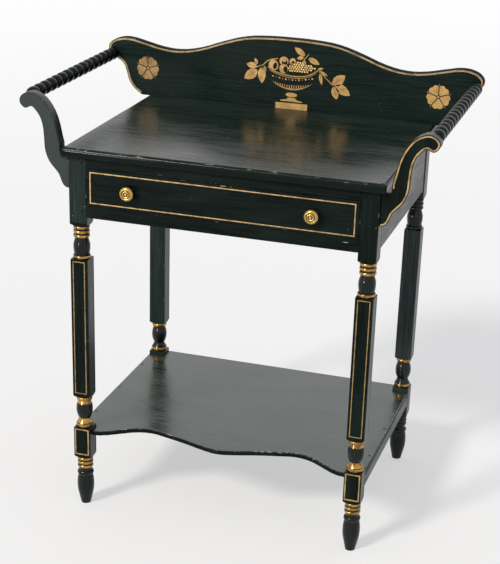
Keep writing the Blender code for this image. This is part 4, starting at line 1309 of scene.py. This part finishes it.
def berries(shape):
    """Heaps of round berries behind the rim, set in rows and nudged out of line."""
    heaps = (((13, 852.4), (16.5, 10.6)), ((37, 851.8), (20.5, 8.8)), ((22, 859.0), (15, 7.4)))
    pitch = 5.3
    for row in range(-3, 7):
        for column in range(-2, 14):
            across = column * pitch + (pitch / 2 if row % 2 else 0)
            up = 846 + row * pitch * 0.84
            across += 0.9 * noise.noise(Vector((across, up, 3)))
            up += 0.9 * noise.noise(Vector((across, up, 9)))
            inside = any(((across - c[0]) / r[0]) ** 2 + ((up - c[1]) / r[1]) ** 2 < 1 for c, r in heaps)
            if inside and up > 838.5 + 0.0075 * (across - 10) ** 2:
                flat_shape(shape, oval((across, up), (2.0, 2.0), steps=12))


fruit(stencil)
dots = bmesh.new()
berries(dots)
print("berries:", len(dots.faces))

# %% [markdown]
# Leaves spring from thin stems on both sides of the bowl and over the fruit. Each one is given by its
# base, its tip and its width.

# %% Leaves and stems
def leaves(shape):
    for base, tip, width in (((31, 879.2), (8, 894.6), 11.5), ((28.6, 876.0), (13.8, 872.0), 7.5),
                             ((38.4, 874.9), (62.4, 864.4), 11.5), ((-71, 852.8), (-77.0, 865.6), 6.0),
                             ((-72, 848.4), (-94.8, 851.2), 13.0), ((-70.6, 840.6), (-99, 820.4), 19.5),
                             ((-61.5, 847.4), (-60, 814.0), 16.5), ((92.5, 824.6), (118, 846.8), 20.0),
                             ((99, 824.4), (130.6, 806.6), 19.0), ((95, 821.8), (102.6, 795.8), 15.5),
                             ((62, 850.4), (81, 842.2), 6.0), ((64, 846.4), (69.4, 822.4), 7.0),
                             ((59, 853.6), (71, 857.0), 5.0), ((29, 870.6), (31.5, 862.0), 5.0),
                             ((-56, 851.0), (-52, 838.6), 5.0)):
        leaf(shape, base, tip, width)
    for points, width in (([(-58.6, 852.6), (-46.5, 863.4), (-27, 868.8)], 1.7),
                          ([(-58.6, 852.8), (-66, 850.0), (-74, 846.0)], 1.3),
                          ([(61.7, 849.8), (76, 838.6), (92, 824.8)], 1.5),
                          ([(25.4, 864.4), (30.2, 872.0), (36.4, 879.8)], 1.3),
                          ([(36.4, 879.8), (39.0, 884.0)], 1.0), ([(92, 824.8), (98, 823.4)], 1.4)):
        stem(shape, points, width)


leaves(stencil)
flat_shape(stencil, [(-29, 765.0), (40, 765.0), (40.4, 778.4), (-29, 777.6)])
bowl = finish_paint("bowl_of_fruit_stencil", stencil, "case", stencil_gold)
heaped = finish_paint("berries_stencil", dots, "case", fresh_gold)
print("bowl of fruit:", len(bowl.data.polygons) + len(heaped.data.polygons), "faces")

# %% [markdown]
# The flowers at the two ends are five petals round a small centre, with a dot in each outer notch.

# %% The two flowers
flower_place, flower_radius = (314.5, 822.0), 25.0


def flower(shape, centre, radius):
    for petal in range(5):
        middle = math.radians(54 + 72 * petal)
        points = []
        for step in range(-8, 9):
            share = step / 8
            dent = 0.09 * math.exp(-(share / 0.22) ** 2)
            reach = radius * (1 - dent - 0.16 * abs(share) ** 4)
            angle = middle + share * math.radians(33.5)
            points.append((centre[0] + reach * math.cos(angle), centre[1] + reach * math.sin(angle)))
        for turn in (22, -22):
            angle = middle + math.radians(turn)
            points.append((centre[0] + 0.17 * radius * math.cos(angle),
                           centre[1] + 0.17 * radius * math.sin(angle)))
        flat_shape(shape, points)
        notch = middle + math.radians(36)
        place = (centre[0] + radius * 0.98 * math.cos(notch),
                 centre[1] + radius * 0.98 * math.sin(notch))
        flat_shape(shape, oval(place, (1.1, 1.1), steps=10))
    flat_shape(shape, oval(centre, (radius * 0.10, radius * 0.10), steps=14))


# The left flower takes the darker gold, which is painted shade
for side_name, side, powder in (("left", -1, painted_shade_gold), ("right", 1, stencil_gold)):
    flowers = bmesh.new()
    flower(flowers, (side * flower_place[0], flower_place[1]), flower_radius)
    finish_paint("flower_stencil_" + side_name, flowers, "case", powder)
print("flowers: 2, each %.0f mm across" % (2 * flower_radius))

# %% [markdown]
# ## The studio
#
# The washstand stands on a plain pale floor under soft light. One wide light from high at the left front
# stands for the sun in the photograph, only softer, and an even white surrounding fills the dark sides.
# Part of the floor's white shines only towards the camera and into reflections, so it looks white, keeps
# the shadow and throws no extra light on the object. Far from the object that part grows to all of it, so
# the floor runs into the white surrounding without a horizon, like a sheet of studio paper.

# %% The floor
floor_reach = 30


def seen_directly(tree):
    """1 for what the camera, a reflection or clear glass shows, and 0 for light that falls on things."""
    rays = add(tree, "LightPath").outputs
    seen = add(tree, "Math", {0: rays["Is Camera Ray"], 1: rays["Is Glossy Ray"]}, operation="MAXIMUM")
    return add(tree, "Math", {0: seen, 1: rays["Is Transmission Ray"]}, operation="MAXIMUM")


def pale_floor():
    material, tree = blank_material("pale_floor")
    lit = add(tree, "BsdfDiffuse", {"Color": "#f6f6f7"})
    white = add(tree, "Emission", {"Color": (1, 1, 1, 1), "Strength": 1.0})
    place = add(tree, "TexCoord").outputs["Object"]
    distance = add(tree, "VectorMath", {0: place}, operation="LENGTH")
    far = add(tree, "MapRange", {0: distance, 1: 1.2, 2: 7.0, 3: 0.50, 4: 1.0}, **smoothly)
    share = add(tree, "Math", {0: seen_directly(tree), 1: far}, operation="MULTIPLY")
    both = add(tree, "MixShader", {0: share, 1: lit, 2: white})
    add(tree, "OutputMaterial", {"Surface": both})
    mesh = bpy.data.meshes.new("floor")
    corners = [(u * floor_reach, v * floor_reach, 0) for u, v in ((-1, -1), (1, -1), (1, 1), (-1, 1))]
    mesh.from_pydata(corners, [], [(0, 1, 2, 3)])
    mesh.materials.append(material)
    floor = bpy.data.objects.new("floor", mesh)
    bpy.context.scene.collection.objects.link(floor)
    return floor


print("floor:", pale_floor().name)

# %% [markdown]
# A turned vase or a brass ridge needs something small and bright to mirror, or it looks like rubber. So
# a small round lamp stands low in front on the left. The camera doesn't see it, and it adds no plain
# light: it only shows as glints in the glossy surfaces.

# %% The light
def white_world(fill):
    """White to the camera and in reflections, and a soft even fill for everything else."""
    world = bpy.data.worlds.new("studio")
    world.use_nodes = True
    tree = world.node_tree
    tree.nodes.clear()
    soft = add(tree, "Background", {"Color": "#f4f6fb", "Strength": fill})
    white = add(tree, "Background", {"Color": (1, 1, 1, 1), "Strength": 1.0})
    both = add(tree, "MixShader", {0: seen_directly(tree), 1: soft, 2: white})
    add(tree, "OutputWorld", {"Surface": both})
    bpy.context.scene.world = world


def add_lamp(name, light, place, towards):
    """Puts a lamp in the scene that shines towards a direction."""
    lamp = bpy.data.objects.new(name, light)
    lamp.location = place
    lamp.rotation_euler = Vector(towards).to_track_quat("-Z", "Y").to_euler()
    bpy.context.scene.collection.objects.link(lamp)
    return lamp


def soft_sun(name, towards, strength, spread_degrees, colour):
    """Even light from one side. The spread makes its shadows soft, as a wide lamp far away would."""
    light = bpy.data.lights.new(name, "SUN")
    light.energy = strength
    light.angle = math.radians(spread_degrees)
    light.color = linear(colour)[:3]
    return add_lamp(name, light, Vector(towards) * -4, towards)


def glint_box(name, place, aim, size, power):
    """A soft round box that only shows in glossy surfaces."""
    light = bpy.data.lights.new(name, "AREA")
    light.shape = "DISK"
    light.size = size
    light.energy = power
    box = add_lamp(name, light, place, Vector(aim) - Vector(place))
    box.visible_diffuse = False
    box.visible_camera = False
    return box


white_world(0.50)
soft_sun("key", towards=(0.40, 0.70, -0.62), strength=2.2, spread_degrees=11, colour="#fff9f0")
glint_box("glints", place=(-1.25, -2.50, 0.80), aim=(0, 0, 0.45), size=0.36, power=25)
bpy.context.scene.view_settings.view_transform = "Standard"
print("lamps: 2")
